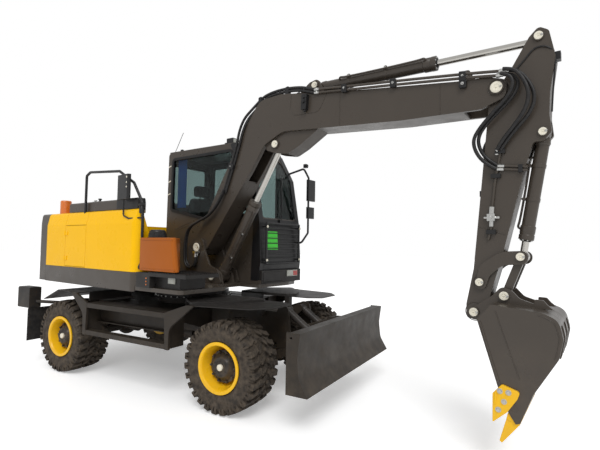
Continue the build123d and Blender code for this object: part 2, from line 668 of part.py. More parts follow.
def make_blade_arms():
    """Lower push arms with their cross tube and cylinder ears."""
    a = ARM_PIN_CHASSIS
    b = ARM_PIN_BLADE
    pieces = []
    for s in (1, -1):
        y0 = s * (BLADE_ARM_Y - 20)
        y1 = s * (BLADE_ARM_Y + 20)
        web = bar((a[0], s * BLADE_ARM_Y, a[1]), (b[0], s * BLADE_ARM_Y, b[1]), 19)
        stem = side([
            # x, z, radius
            (a[0] - 8, a[1] + 38, 0), (a[0] + 8, a[1] - 38, 0), (b[0] + 8, b[1] - 34, 0), (b[0] - 8, b[1] + 34, 0),
        ], min(y0, y1), max(y0, y1))
        pieces += [web, stem, cross_bar(a, 46, min(y0, y1), max(y0, y1)), cross_bar(b, 36, min(y0, y1), max(y0, y1))]
    middle = (a[0] + 0.62 * (b[0] - a[0]), a[1] + 0.62 * (b[1] - a[1]))
    tie = cross_bar(middle, 34, -BLADE_ARM_Y, BLADE_ARM_Y)
    ears = []
    e = BLADE_CYL_EYE
    for y in (BLADE_CYL_Y - 46, BLADE_CYL_Y + 30):
        ear = side([
            # x, z, radius
            (e[0] - 34, e[1] + 20, 26), (middle[0] - 24, middle[1] - 10, 0), (middle[0] + 30, middle[1] - 10, 0),
            (e[0] + 34, e[1] + 10, 26),
        ], y, y + 16)
        ears += both_sides(ear)
    add("blade_arms", fuse(pieces + [tie] + ears))


def make_blade_links():
    """Upper parallel link and the two lift cylinders of the blade."""
    a = link_point(ARM_PIN_CHASSIS)
    b = link_point(ARM_PIN_BLADE)
    link = bar((a[0], 0, a[1]), (b[0], 0, b[1]), 24)
    add("blade_link", link + cross_bar(a, 36, -28, 28) + cross_bar(b, 32, -28, 28))
    h = BLADE_CYL_HEAD
    e = BLADE_CYL_EYE
    barrels = [cylinder_barrel(h, e, 0.66, 38, 34, 40, s * BLADE_CYL_Y) for s in (1, -1)]
    rods = [cylinder_rod(h, e, 0.66, 38, 18, 26, 24, s * BLADE_CYL_Y, overlap=0.25) for s in (1, -1)]
    add("blade_cylinder_barrels", barrels)
    add("blade_cylinder_rods", rods)


# ---------------------------------------------------------------- upper structure
def make_upper_frame():
    """Turntable frame: deck, boom bracket with its ribs, and the ring's moving half."""
    deck = plan([
        # x, y, radius
        (-1780, -DECK_HALF_WIDTH, 40), (250, -DECK_HALF_WIDTH, 20), (860, -BODY_HALF_WIDTH + 60, 60),
        (860, -300, 30), (640, -230, 0), (640, CAB_RIGHT_Y - 30, 0), (940, CAB_RIGHT_Y - 30, 0), (940, 700, 120),
        (880, DECK_HALF_WIDTH, 60), (-1780, DECK_HALF_WIDTH, 40),
    ], DECK_BOTTOM, DECK_TOP)
    ring = Pos(0, 0, (RING_SPLIT + 1 + DECK_BOTTOM) / 2) * Cylinder(RING_RADIUS - 6, DECK_BOTTOM - RING_SPLIT)
    ring = ring - Pos(0, 0, RING_SPLIT) * Cylinder(RING_RADIUS - 90, 300)
    cheek_rows = [
        # x, z, radius
        (-620, DECK_TOP - 4, 0), (610, DECK_TOP - 4, 0), (620, 1120, 30), (575, 1245, 60), (440, 1290, 60),
        (345, 1470, 40), (310, 1600, 60), (150, 1600, 60), (20, 1440, 40), (-280, 1240, 40),
    ]
    cheeks = plates(cheek_rows, BOOM_HALF_WIDTH + WORK_GAP, BOOM_HALF_WIDTH + WORK_GAP + 26)
    y_cheek = BOOM_HALF_WIDTH + WORK_GAP
    foot_caps = [cross_bar(BOOM_FOOT, 62, s * y_cheek, s * (y_cheek + 32)) for s in (1, -1)]
    ears = plates([
        # x, z, radius
        (390, DECK_TOP - 2, 0), (600, DECK_TOP - 2, 0), (575, 1190, 50), (490, 1262, 60), (410, 1190, 50),
    ], 74, 102)
    wall = block(330, 360, -y_cheek - 2, y_cheek + 2, DECK_TOP - 4, 1250)
    caps = [cross_bar(BOOM_CYL_FOOT, 46, s * 74, s * (y_cheek + 34)) for s in (1, -1)]
    add("upper_frame", fuse([deck, ring, wall] + cheeks + foot_caps + ears + caps), upper=True)


HOOD_REAR_X = -1795
HOOD_INNER_Y = -170         # edge of the tall part beside the boom
HOOD_FRONT_LOW = (205, -788, 1612)      # the inner wall's front edge, low and high
HOOD_FRONT_HIGH = (205, -882, 1862)
HOOD_WALL_RUN = (-1050, 730, 0)         # the inner wall runs back and inward, clear of the boom
SKIRT_BOTTOM = 1030
LINE_WIDTH = 5
LINE_DEPTH = 6


def hood_section(inset, x0, x1, z0):
    """Front-view section of the hood and the counterweight: tall on the right, low on the left."""
    i = inset
    w = BODY_HALF_WIDTH
    right = front([
        # y, z, radius
        (-w + i, z0, 0), (HOOD_INNER_Y - i, z0, 0), (HOOD_INNER_Y - i, HOOD_LEFT_TOP + 20, 0),
        (HOOD_INNER_Y - 70 - i, HOOD_TOP - i, 40), (-w + 34 + i, HOOD_TOP - i, 45), (-w + i, HOOD_BEND, 0),
    ], x0, x1)
    left = front([
        # y, z, radius
        (HOOD_INNER_Y - 60, z0, 0), (w - i, z0, 0), (w - i, HOOD_LEFT_TOP - 130, 60),
        (w - 30 - i, HOOD_LEFT_TOP - i, 45), (HOOD_INNER_Y - 60, HOOD_LEFT_TOP - i, 0),
    ], x0, x1)
    return right, left


def hood_solid(inset, z0):
    """Solid hood body: the right part narrows forward along a leaning inner wall."""
    i = inset
    w = BODY_HALF_WIDTH
    right, left = hood_section(i, HOOD_REAR_X - 50, HOOD_FRONT_X + 50, z0)
    run = Vector(HOOD_WALL_RUN)
    rise = Vector(HOOD_FRONT_HIGH) - Vector(HOOD_FRONT_LOW)
    out = run.cross(rise).normalized()
    wall = Plane(origin=Vector(HOOD_FRONT_LOW) - out * i, x_dir=run, z_dir=out)
    beyond = wall * Box(6000, 6000, 2000, align=(Align.CENTER, Align.CENTER, Align.MIN))
    right_plan = plan([
        # x, y, radius
        (HOOD_REAR_X + i, -w + i, 0), (HOOD_FRONT_X - i, -w + i, 100 - i), (HOOD_FRONT_X - i, HOOD_INNER_Y + 20, 0),
        (HOOD_REAR_X + i, HOOD_INNER_Y + 20, 0),
    ], z0 - 10, HOOD_TOP + 10)
    left_plan = plan([
        # x, y, radius
        (HOOD_REAR_X + i, HOOD_INNER_Y - 90, 0), (CAB_REAR_X - 45 - i, HOOD_INNER_Y - 90, 0),
        (CAB_REAR_X - 45 - i, w - i, 60), (HOOD_REAR_X + i, w - i, 0),
    ], z0 - 10, HOOD_TOP + 10)
    return (right & right_plan) - beyond + (left & left_plan)


def make_counterweight():
    """Cast counterweight that closes the tail, with the hood's section and rounded corners."""
    over = BODY_HALF_WIDTH + 10
    corners = plan([
        # x, y, radius
        (TAIL_X, -690, 60), (TAIL_X + 140, -over, 120), (HOOD_REAR_X - 3, -over, 0), (HOOD_REAR_X - 3, over, 0),
        (TAIL_X + 140, over, 120), (TAIL_X, 690, 60),
    ], SKIRT_BOTTOM, HOOD_TOP + 20)
    profile = side([
        # x, z, radius
        (TAIL_X - 10, SKIRT_BOTTOM - 20, 0), (HOOD_REAR_X + 30, SKIRT_BOTTOM - 20, 0),
        (HOOD_REAR_X + 30, HOOD_TOP + 5, 0), (TAIL_X + 70, HOOD_TOP + 5, 60), (TAIL_X - 10, 1690, 80),
    ], -over - 20, over + 20)
    right, left = hood_section(0, TAIL_X - 30, HOOD_REAR_X + 40, SKIRT_BOTTOM + 5)
    body = (right + left) & corners
    add("counterweight", body & profile, upper=True)


HOOD_DOORS = [
    # name, side, rear x, front x, top z
    ("left", 1, -1720, -900, 1615),
    ("right", -1, -1300, -815, 1735),
]
DOOR_BOTTOM = SKIRT_TOP + 12
DOOR_GAP = 5
LID_OUTER_Y = -882
LID_INNER_Y = -420
LID_REAR_X = -1390
LID_TOP = 2020
LID_BOTTOM = HOOD_TOP + 5
LID_PIN = (LID_INNER_Y + 9, HOOD_TOP + 10)      # y, z of the lid's hinges
LID_HINGES = (-1300, -620)


def lid_rows(inset):
    """Plan of the raised cover on the hood; its inner side follows the hood's leaning wall."""
    i = inset
    r = 34 - i / 2
    return [
        # x, y, radius
        (LID_REAR_X + i, LID_OUTER_Y + i, r), (105 - i, LID_OUTER_Y + i, r), (105 - i, -795 - i / 3, r),
        (-430 - i, LID_INNER_Y - i, 60), (LID_REAR_X + i, LID_INNER_Y - i, r),
    ]


def make_hood():
    """Engine hood with its panel lines, side doors, skirt and raised cover."""
    outside = hood_solid(0, SKIRT_TOP)
    shell = outside - hood_solid(PANEL, SKIRT_TOP - 1)
    skin = outside - hood_solid(LINE_DEPTH, SKIRT_TOP - 1)
    for x in (-1300 - LINE_WIDTH, -815):
        shell = shell - (skin & block(x, x + LINE_WIDTH, -BODY_HALF_WIDTH, LID_OUTER_Y + 10, 1700, HOOD_TOP))
    shell = shell - plan(lid_rows(44), HOOD_TOP - PANEL - 2, HOOD_TOP + 1)
    for name, s, rear, ahead, top in HOOD_DOORS:
        y0 = s * (BODY_HALF_WIDTH - PANEL)
        y1 = s * BODY_HALF_WIDTH
        shell = shell - block(rear - DOOR_GAP, ahead + DOOR_GAP, y0 - s * 2, y1 + s, DOOR_BOTTOM - DOOR_GAP,
                              top + DOOR_GAP)
        door = block(rear, ahead, y0, y1, DOOR_BOTTOM, top)
        pin_y = y1 + s * HINGE_RADIUS
        for z in (DOOR_BOTTOM + 70, top - 70 - HINGE_LENGTH):
            knuckle = bar((rear, pin_y, z), (rear, pin_y, z + HINGE_LENGTH), HINGE_RADIUS)
            leaf = block(rear, rear + 50, y1 - s, pin_y, z, z + HINGE_LENGTH)
            door = fuse([door, knuckle, leaf])
        add("hood_door_" + name, door, upper=True)
    add("engine_hood", shell, upper=True)
    skirt = hood_solid(0, SKIRT_BOTTOM) - hood_solid(PANEL, SKIRT_BOTTOM - 1)
    skirt = skirt & block(HOOD_REAR_X, HOOD_FRONT_X, -BODY_HALF_WIDTH, BODY_HALF_WIDTH, SKIRT_BOTTOM, SKIRT_TOP - 2)
    over_deck = block(-1784, HOOD_FRONT_X + 1, -DECK_HALF_WIDTH - 2, DECK_HALF_WIDTH + 2, SKIRT_BOTTOM - 1, DECK_TOP + 1)
    add("hood_skirt", skirt - over_deck, upper=True)
    cover = plan(lid_rows(0), LID_BOTTOM, LID_TOP)
    cover = fillet(cover.edges().group_by(Axis.Z)[-1], 24)
    hollow = plan(lid_rows(PANEL), LID_BOTTOM - 1, LID_TOP - PANEL)
    lid = cover - hollow
    pin_y, pin_z = LID_PIN
    for x in LID_HINGES:
        knuckle = bar((x, pin_y, pin_z), (x + HINGE_LENGTH, pin_y, pin_z), HINGE_RADIUS)
        leaf = block(x, x + HINGE_LENGTH, LID_INNER_Y - 4, pin_y, LID_BOTTOM, pin_z + HINGE_RADIUS)
        lid = fuse([lid, knuckle, leaf])
    add("hood_lid", lid, upper=True)


def make_engine():
    """Engine and pump as one plain mass inside the hood."""
    add("engine_block", block(-1560, -960, -480, 560, DECK_TOP + 4, 1620), upper=True)


TANK_REAR_X = 262
TANK_FRONT_X = 835
TANK_TOP = 1592
GRATE_FRONT_X = 990
GRATE_BARS = 9


def make_tool_box():
    """Orange tank ahead of the hood, its filler cap and the black grated step under it."""
    tank = side([
        # x, z, radius
        (TANK_REAR_X, 1262, 8), (TANK_FRONT_X + 32, 1255, 24), (TANK_FRONT_X - 34, TANK_TOP, 36), (TANK_REAR_X, TANK_TOP, 8),
    ], -BODY_HALF_WIDTH + 4, -520)
    tank = fillet(tank.edges().filter_by(Axis.X).group_by(Axis.Z)[-1], 18)
    hold = block(TANK_REAR_X + 60, TANK_FRONT_X - 80, -BODY_HALF_WIDTH + 60, -560, 1238, 1275)
    add("tool_box", tank + hold, upper=True)
    cap = Pos(352, -800, 1638) * Cylinder(84, 76)
    cap = fillet(cap.edges().group_by(Axis.Z)[-1], 26)
    add("filler_cap", cap + Pos(352, -800, 1610) * Cylinder(92, 30), upper=True)
    x0 = 400
    edge = -BODY_HALF_WIDTH + 8
    grate = block(x0, GRATE_FRONT_X, edge, -520, 1204, 1238) - block(
        x0 + 14, GRATE_FRONT_X - 14, edge + 14, -534, 1203, 1239)
    pitch = (GRATE_FRONT_X - x0 - 14) / (GRATE_BARS + 1)
    bars = [
        block(x0 + 4 + pitch * n, x0 + 18 + pitch * n, edge + 6, -526, 1206, 1236) for n in range(1, GRATE_BARS + 1)
    ]
    rails = [block(x0 + 4, GRATE_FRONT_X - 4, y - 6, y + 6, 1206, 1236) for y in (-800, -660)]
    foot = block(440, 810, -BODY_HALF_WIDTH + 90, -540, DECK_TOP + 1, 1208)
    corner = block(214, 440, edge, -BODY_HALF_WIDTH + 80, DECK_TOP + 1, 1238)
    tie = block(214, x0 + 6, -BODY_HALF_WIDTH + 60, -560, 1204, 1236)
    add("deck_step", fuse([grate, foot, corner, tie] + bars + rails), upper=True)


def make_hand_rail():
    """Guard rail on the hood with its mirror, and the beacon behind it."""
    y = -905
    rail = tube_path([
        (-930, y, 1840), (-930, y, 2335), (-850, y, 2372), (-225, y, 2330), (60, y, 2180), (224, y, 1960),
        (236, y, 1800), (236, y, 1330), (190, y, 1272), (190, y + 60, 1272),
    ], 15, 26)
    add("hand_rails", rail - hood_solid(0, SKIRT_TOP), upper=True)
    glass = plan([
        # x, y, radius
        (-178, y - 54, 24), (72, y - 80, 24), (72, y - 42, 10), (-178, y - 18, 10),
    ], 2000, 2268)
    hold = tube_path([(-60, y - 40, 2030), (-60, y - 40, 1830), (40, y - 40, 1795), (226, y - 4, 1800)], 8, 30)
    add("hood_mirror", fuse([glass, hold]) - rail - hood_solid(0, SKIRT_TOP), upper=True)
    lamp = Pos(-1640, -800, 1990) * Cylinder(66, 176)
    lamp = fillet(lamp.edges().group_by(Axis.Z)[-1], 18)
    add("hood_beacon", lamp, upper=True)


# ---------------------------------------------------------------- cab
CAB_SIDE = [
    # x, z, radius
    (CAB_REAR_X, CAB_FLOOR, 20), (900, CAB_FLOOR, 20), (935, 1330, 60), (905, 1800, 200), (800, 2380, 240),
    (560, CAB_ROOF - 20, 130), (CAB_REAR_X + 10, CAB_ROOF, 60), (CAB_REAR_X - 5, 1700, 60),
]
CAB_INSIDE = [
    # x, z, radius
    (CAB_REAR_X + CAB_WALL, CAB_FLOOR + CAB_WALL, 0), (860, CAB_FLOOR + CAB_WALL, 0), (892, 1330, 60),
    (862, 1795, 200), (760, 2360, 220), (540, CAB_ROOF - 70, 100), (CAB_REAR_X + 46, CAB_ROOF - 50, 30),
    (CAB_REAR_X + 36, 1700, 40),
]
RIGHT_WINDOW = [
    # x, z, radius
    (-710, 1990, 40), (-700, 2700, 50), (420, 2700, 60), (700, 2330, 120), (790, 1890, 60), (-20, 1850, 60),
]
CAB_DOOR = [
    # x, z, radius
    (-240, 1150, 50), (330, 1150, 60), (600, 1360, 90), (600, 2640, 80), (520, 2710, 60), (-240, 2710, 50),
]
CAB_DOOR_GAP = 5
DOOR_PIN = (-252, 957)      # x, y of the door's hinges
DOOR_HINGES = (1420, 2380)
GUARD_PITCH = 59            # between the bars of the lower front guard
DOOR_WINDOW = [
    # x, z, radius
    (-170, 1760, 40), (530, 1760, 60), (530, 2600, 60), (460, 2640, 50), (-170, 2640, 50),
]
QUARTER_WINDOW = [
    # x, z, radius
    (-720, 1900, 50), (-310, 1900, 50), (-310, 2690, 50), (-710, 2690, 50),
]


def shrunk(rows, gap):
    """A side-view outline moved inward by gap all round, ready to extrude."""
    points = [(x, 0, z) for x, z, r in rows]
    wire = FilletPolyline(points, radius=[r for x, z, r in rows], close=True)
    return offset(make_face(wire), amount=-gap)


def make_cab():
    """Hollow cab with windows cut through, glass set in, and a hinged door."""
    outer = side(CAB_SIDE, CAB_RIGHT_Y, CAB_LEFT_Y)
    inner = side(CAB_INSIDE, CAB_RIGHT_Y + CAB_WALL, CAB_LEFT_Y - CAB_WALL)
    shell = outer - inner
    right_gap = side(RIGHT_WINDOW, CAB_RIGHT_Y - 5, CAB_RIGHT_Y + CAB_WALL + 5)
    door_gap = side(CAB_DOOR, CAB_LEFT_Y - CAB_WALL - 5, CAB_LEFT_Y + 5)
    quarter_gap = side(QUARTER_WINDOW, CAB_LEFT_Y - CAB_WALL - 5, CAB_LEFT_Y + 5)
    screen_gap = front([
        # y, z, radius
        (CAB_RIGHT_Y + 60, 1860, 50), (CAB_LEFT_Y - 60, 1860, 50), (CAB_LEFT_Y - 75, 2640, 70),
        (CAB_RIGHT_Y + 75, 2640, 70),
    ], 640, 1000)
    rear_gap = front([
        # y, z, radius
        (CAB_RIGHT_Y + 90, 2080, 50), (CAB_LEFT_Y - 90, 2080, 50), (CAB_LEFT_Y - 90, 2650, 50),
        (CAB_RIGHT_Y + 90, 2650, 50),
    ], CAB_REAR_X - 50, CAB_REAR_X + 60)
    shell = shell - right_gap - door_gap - quarter_gap - screen_gap - rear_gap
    door_x, door_y = DOOR_PIN
    frame_hinges = [
        bar((door_x, door_y, z + 2), (door_x, door_y, z + HINGE_LENGTH), HINGE_RADIUS)
        + block(door_x - 60, door_x, CAB_LEFT_Y - 1, door_y, z + 2, z + HINGE_LENGTH)
        for z in DOOR_HINGES
    ]
    base = plan([
        # x, y, radius
        (CAB_REAR_X, CAB_RIGHT_Y, 0), (945, CAB_RIGHT_Y, 0), (945, CAB_LEFT_Y - 120, 60), (860, CAB_LEFT_Y, 60),
        (CAB_REAR_X, CAB_LEFT_Y, 0),
    ], DECK_TOP + 1, CAB_FLOOR + 10)
    add("cab_shell", fuse([shell, base] + frame_hinges), upper=True)
    right_glass = side(RIGHT_WINDOW, CAB_RIGHT_Y + 12, CAB_RIGHT_Y + 12 + GLASS)
    rear_glass = front([
        # y, z, radius
        (CAB_RIGHT_Y + 90, 2080, 50), (CAB_LEFT_Y - 90, 2080, 50), (CAB_LEFT_Y - 90, 2650, 50),
        (CAB_RIGHT_Y + 90, 2650, 50),
    ], CAB_REAR_X + 14, CAB_REAR_X + 14 + GLASS)
    skin_out = side([(x, z, r) for x, z, r in CAB_SIDE], CAB_RIGHT_Y + 60, CAB_LEFT_Y - 60)
    skin_in = Pos(-GLASS - 6, 0, 0) * skin_out
    screen_box = front([
        # y, z, radius
        (CAB_RIGHT_Y + 60, 1860, 50), (CAB_LEFT_Y - 60, 1860, 50), (CAB_LEFT_Y - 75, 2640, 70),
        (CAB_RIGHT_Y + 75, 2640, 70),
    ], 640, 1000)
    screen = (Pos(-8, 0, 0) * skin_out - Pos(-8, 0, 0) * skin_in) & screen_box
    quarter_glass = side(QUARTER_WINDOW, CAB_LEFT_Y - 20, CAB_LEFT_Y - 20 + GLASS)
    add("cab_glass", [right_glass, rear_glass, quarter_glass, screen], upper=True)
    door = extrude(shrunk(CAB_DOOR, CAB_DOOR_GAP), amount=CAB_WALL, dir=(0, 1, 0))
    door = Pos(0, CAB_LEFT_Y - CAB_WALL + 2, 0) * door
    door = door - side(DOOR_WINDOW, CAB_LEFT_Y - CAB_WALL - 5, CAB_LEFT_Y + 5)
    handle = bar((420, CAB_LEFT_Y + 22, 1700), (560, CAB_LEFT_Y + 22, 1700), 10)
    posts = [bar((x, CAB_LEFT_Y, 1700), (x, CAB_LEFT_Y + 22, 1700), 9) for x in (430, 550)]
    door_hinges = [
        bar((door_x, door_y, z - HINGE_LENGTH), (door_x, door_y, z), HINGE_RADIUS)
        + block(door_x, door_x + 60, CAB_LEFT_Y + 1, door_y, z - HINGE_LENGTH, z)
        for z in DOOR_HINGES
    ]
    add("cab_door", fuse([door, handle] + posts + door_hinges), upper=True)
    add("door_glass", side(DOOR_WINDOW, CAB_LEFT_Y - 22, CAB_LEFT_Y - 22 + GLASS), upper=True)


def make_cab_interior():
    """Seat with its arm rests, and the steering console."""
    y = (CAB_RIGHT_Y + CAB_LEFT_Y) / 2
    floor = CAB_FLOOR + CAB_WALL
    base = block(-430, 40, y - 170, y + 170, floor, floor + 320)
    cushion = block(-470, 90, y - 240, y + 240, floor + 318, floor + 440)
    cushion = fillet(cushion.edges().group_by(Axis.Z)[-1], 40)
    back = side([
        # x, z, radius
        (-470, floor + 400, 30), (-330, floor + 400, 30), (-440, 2180, 50), (-560, 2180, 50),
    ], y - 230, y + 230)
    head = side([(-560, 2190, 30), (-470, 2190, 30), (-480, 2360, 36), (-570, 2360, 36)], y - 130, y + 130)
    neck = side([(-530, 2170, 0), (-495, 2170, 0), (-500, 2200, 0), (-535, 2200, 0)], y - 60, y + 60)
    consoles = [block(-380, 120, y + s * 260, y + s * 330, floor, floor + 560) for s in (1, -1)]
    tie = block(-360, 0, y - 330, y + 330, floor + 120, floor + 220)
    add("seat", fuse([base, cushion, back, head, neck, tie] + consoles), upper=True)
    column = side([
        # x, z, radius
        (430, floor, 0), (580, floor, 0), (560, 1700, 20), (400, 1900, 20), (360, 1880, 20), (480, 1640, 20),
    ], y - 60, y + 60)
    wheel_plane_tilt = Plane(origin=(372, y, 1930), z_dir=(-0.55, 0, 0.83))
    wheel = wheel_plane_tilt * Torus(170, 14)
    spoke = wheel_plane_tilt * Box(330, 30, 10)
    boss = wheel_plane_tilt * Cylinder(34, 60, align=(Align.CENTER, Align.CENTER, Align.MAX))
    add("console", fuse([column, spoke, boss, wheel]), upper=True)


def make_mirrors():
    """Mirrors on the cab's front rail, and the barred guard over its lower window."""
    cab_rail = tube_path([
        (880, CAB_LEFT_Y - 60, 1560), (990, CAB_LEFT_Y - 50, 1575), (1010, CAB_LEFT_Y + 60, 1700),
        (1010, CAB_LEFT_Y + 60, 2420), (960, CAB_LEFT_Y + 20, 2540), (740, CAB_LEFT_Y - 20, 2480),
    ], 13, 30)
    big = block(985, 1015, CAB_LEFT_Y + 50, CAB_LEFT_Y + 210, 2120, 2400)
    low = block(985, 1015, CAB_LEFT_Y + 50, CAB_LEFT_Y + 190, 1890, 2040)
    solid_cab = side(CAB_SIDE, CAB_RIGHT_Y, CAB_LEFT_Y)
    add("cab_mirrors", fuse([cab_rail, big, low]) - solid_cab, upper=True)
    x = 968
    y0 = 230
    y1 = 862
    guard = [bar((x, y, 1316), (x, y, 1800), 13) for y in (y0, y1)]
    guard += [bar((x, y0, z), (x, y1, z), 11) for z in (1322, 1794)]
    guard += [bar((x, y0, 1322 + GUARD_PITCH * n), (x, y1, 1322 + GUARD_PITCH * n), 6) for n in range(1, 8)]
    guard += [bar((880, y, z), (x, y, z), 9) for y in (y0, y1) for z in (1360, 1750)]
    add("front_guard", fuse(guard) - solid_cab, upper=True)


# ---------------------------------------------------------------- boom and arm
BOOM_SIDE = [
    # x, z, radius
    (150, 1560, 70), (262, 1410, 70), (373, 1500, 30), (732, 1965, 0), (1030, 2345, 120), (1205, 2600, 150),
    (1452, 2713, 260), (1810, 2685, 200), (2741, 2618, 0), (3384, 2600, 30), (3450, 2830, 30), (3200, 2858, 0),
    (2146, 2992, 200), (1681, 3070, 300), (1425, 3110, 300), (1130, 3095, 200), (917, 2815, 120),
]


def make_boom():
    """Gooseneck box-section boom with foot boss, tip fork and cylinder ears."""
    body = box_section(BOOM_SIDE, BOOM_HALF_WIDTH, BOOM_PLATE)
    foot = cross_bar(BOOM_FOOT, 96, -BOOM_HALF_WIDTH, BOOM_HALF_WIDTH)
    tip_rows = [
        # x, z, radius
        (3230, 2620, 30), (3384, 2600, 40), (BOOM_TIP[0] + 60, BOOM_TIP[1] - 80, 60),
        (BOOM_TIP[0] + 75, BOOM_TIP[1] + 50, 60), (3440, 2840, 40), (3230, 2854, 0),
    ]
    fork = plates(tip_rows, ARM_HALF_WIDTH + 9, BOOM_HALF_WIDTH)
    fork_caps = [cross_bar(BOOM_TIP, 52, s * (ARM_HALF_WIDTH + 9), s * (BOOM_HALF_WIDTH + 14)) for s in (1, -1)]
    mouth = side([
        # x, z, radius
        (3215, 2540, 0), (3700, 2540, 0), (3700, 2900, 0), (3345, 2900, 0), (3345, 2760, 60),
    ], -ARM_HALF_WIDTH - 9, ARM_HALF_WIDTH + 9)
    ears = plates([
        # x, z, radius
        (1205, 2590, 0), (1222, 2545, 30), (1330, 2508, 60), (1500, 2478, 90), (1640, 2540, 80), (1890, 2690, 0),
        (1400, 2760, 0),
    ], 74, 96)
    ear_floor = side([
        # x, z, radius
        (1500, 2479, 0), (1640, 2541, 80), (1890, 2691, 0), (1890, 2706, 0), (1640, 2556, 80), (1500, 2494, 0),
    ], -80, 80)
    hook = side([
        # x, z, radius
        (3186, 2820, 0), (3212, 2940, 20), (3242, 2976, 18), (3276, 2974, 18), (3312, 2900, 30), (3340, 2872, 14),
        (3340, 2790, 0),
    ], -13, 13) - cross_bar((3246, 2940), 14, -20, 20)
    ear_caps = [cross_bar(BOOM_CYL_EYE, 44, s * 74, s * 114) for s in (1, -1)]
    top_ears = plates([
        # x, z, radius
        (1600, 3050, 0), (1760, 3170, 50), (1860, 3190, 50), (1900, 3120, 40), (1960, 2985, 0), (1600, 3000, 0),
    ], 66, 90)
    top_caps = [cross_bar(ARM_CYL_HEAD, 38, s * 66, s * 106) for s in (1, -1)]
    slot = side([
        # x, z, radius
        (930, 2230, 0), (1240, 2230, 0), (1560, 2600, 0), (1540, 2780, 0), (1340, 2930, 60), (1030, 2800, 60),
    ], -74, 74)
    boom = fuse([body, foot] + fork + ears + ear_caps + top_ears + top_caps + fork_caps) - mouth - slot
    boom = fuse([boom, ear_floor - slot, hook - mouth])
    add("boom", boom, upper=True)


ARM_SIDE = [
    # x, z, radius
    (3268, 1000, 30), (3388, 1000, 40), (3532, 1511, 0), (3675, 2110, 0), (3735, 2310, 20), (3800, 2310, 30),
    (3852, 2370, 30), (3838, 2500, 60), (3845, 2660, 80), (3880, 2920, 60), (3842, 3110, 40), (3777, 3152, 30),
    (3715, 3090, 40), (3600, 2890, 80), (3440, 2660, 60), (3385, 2050, 0), (3323, 1382, 0), (3268, 1110, 30),
]


def make_arm():
    """Tapered box-section arm with its end bosses and the rear cylinder bracket."""
    body = box_section(ARM_SIDE, ARM_HALF_WIDTH, ARM_PLATE)
    pivot = cross_bar(BOOM_TIP, 70, -ARM_HALF_WIDTH - 4, ARM_HALF_WIDTH + 4)
    nose = cross_bar(BUCKET_PIN, 62, -ARM_HALF_WIDTH, ARM_HALF_WIDTH)
    guide = cross_bar(GUIDE_PIN, 40, -ARM_HALF_WIDTH - 3, ARM_HALF_WIDTH + 3)
    top_slot = side([
        # x, z, radius
        (3540, 3260, 0), (3630, 2960, 30), (3700, 2900, 40), (3960, 2900, 0), (3960, 3260, 0),
    ], -52, 52)
    head_slot = side([
        # x, z, radius
        (3650, 2200, 0), (3735, 2430, 30), (3790, 2462, 30), (3960, 2462, 0), (3960, 2200, 0),
    ], -52, 52)
    caps = []
    for pin, r in ((ARM_CYL_EYE, 36), (BUCKET_CYL_HEAD, 34)):
        caps += [cross_bar(pin, r, s * 52, s * (ARM_HALF_WIDTH + 12)) for s in (1, -1)]
    arm = fuse([body, pivot, nose, guide]) - top_slot - head_slot
    add("arm", fuse([arm] + caps), upper=True)


def make_boom_cylinders():
    """Boom, arm and bucket cylinders: one barrel and one rod each."""
    table = [
        # name, head, eye, barrel's share, barrel r, rod r, head eye r, rod eye r, eye half width, overlap
        ("boom_cylinder", BOOM_CYL_FOOT, BOOM_CYL_EYE, 0.595, 62, 32, 62, 52, 68, 0.23),
        ("arm_cylinder", ARM_CYL_HEAD, ARM_CYL_EYE, 0.605, 54, 28, 52, 46, 46, 0.29),
        ("bucket_cylinder", BUCKET_CYL_HEAD, ROD_PIN, 0.86, 46, 25, 44, 42, 34, 0.684),
    ]
    for name, head, eye, share, r_barrel, r_rod, r_head, r_eye, half, overlap in table:
        add(name + "_barrel", cylinder_barrel(head, eye, share, r_barrel, r_head, half), upper=True)
        add(name + "_rod", cylinder_rod(head, eye, share, r_barrel, r_rod, r_eye, half, overlap=overlap), upper=True)


GUIDE_SIDE = [
    # x, z, radius
    (3330, 1235, 36), (3405, 1225, 36), (3440, 1330, 80), (3530, 1415, 100), (3690, 1425, 46), (3708, 1525, 46),
    (3520, 1515, 160), (3370, 1410, 100),
]


def make_bucket_linkage():
    """Curved guide links and the bucket link between the rod and the bucket."""
    inner = ARM_HALF_WIDTH + 8
    outer = inner + 18
    guides = both_sides(side(GUIDE_SIDE, inner, outer))
    caps = []
    for pin in (GUIDE_PIN, ROD_PIN):
        caps.append([cross_bar(pin, 34, s * inner, s * (outer + 10)) for s in (1, -1)])
    left = guides[0] + caps[0][0] + caps[1][0]
    right = guides[1] + caps[0][1] + caps[1][1]
    add("guide_links", [left, right], upper=True)
    p = ROD_PIN
    q = BUCKET_LINK_PIN
    run = (q[0] - p[0], q[1] - p[1])
    length = hypot(run[0], run[1])
    nx = -run[1] / length * LINK_HALF_DEPTH
    nz = run[0] / length * LINK_HALF_DEPTH
    bars = plates([
        # x, z, radius
        (p[0] + nx, p[1] + nz, 0), (p[0] - nx, p[1] - nz, 0), (q[0] - nx, q[1] - nz, 0), (q[0] + nx, q[1] + nz, 0),
    ], 42, 82)
    eyes = [cross_bar(p, 40, s * 42, s * 88) for s in (1, -1)]
    foot = cross_bar(q, 40, -82, 82)
    middle = ((p[0] + q[0]) / 2 - 12, (p[1] + q[1]) / 2 - 25)
    tie = cross_bar(middle, 24, -60, 60)
    link = fuse(bars + eyes + [foot, tie])
    add("bucket_link", link, upper=True)


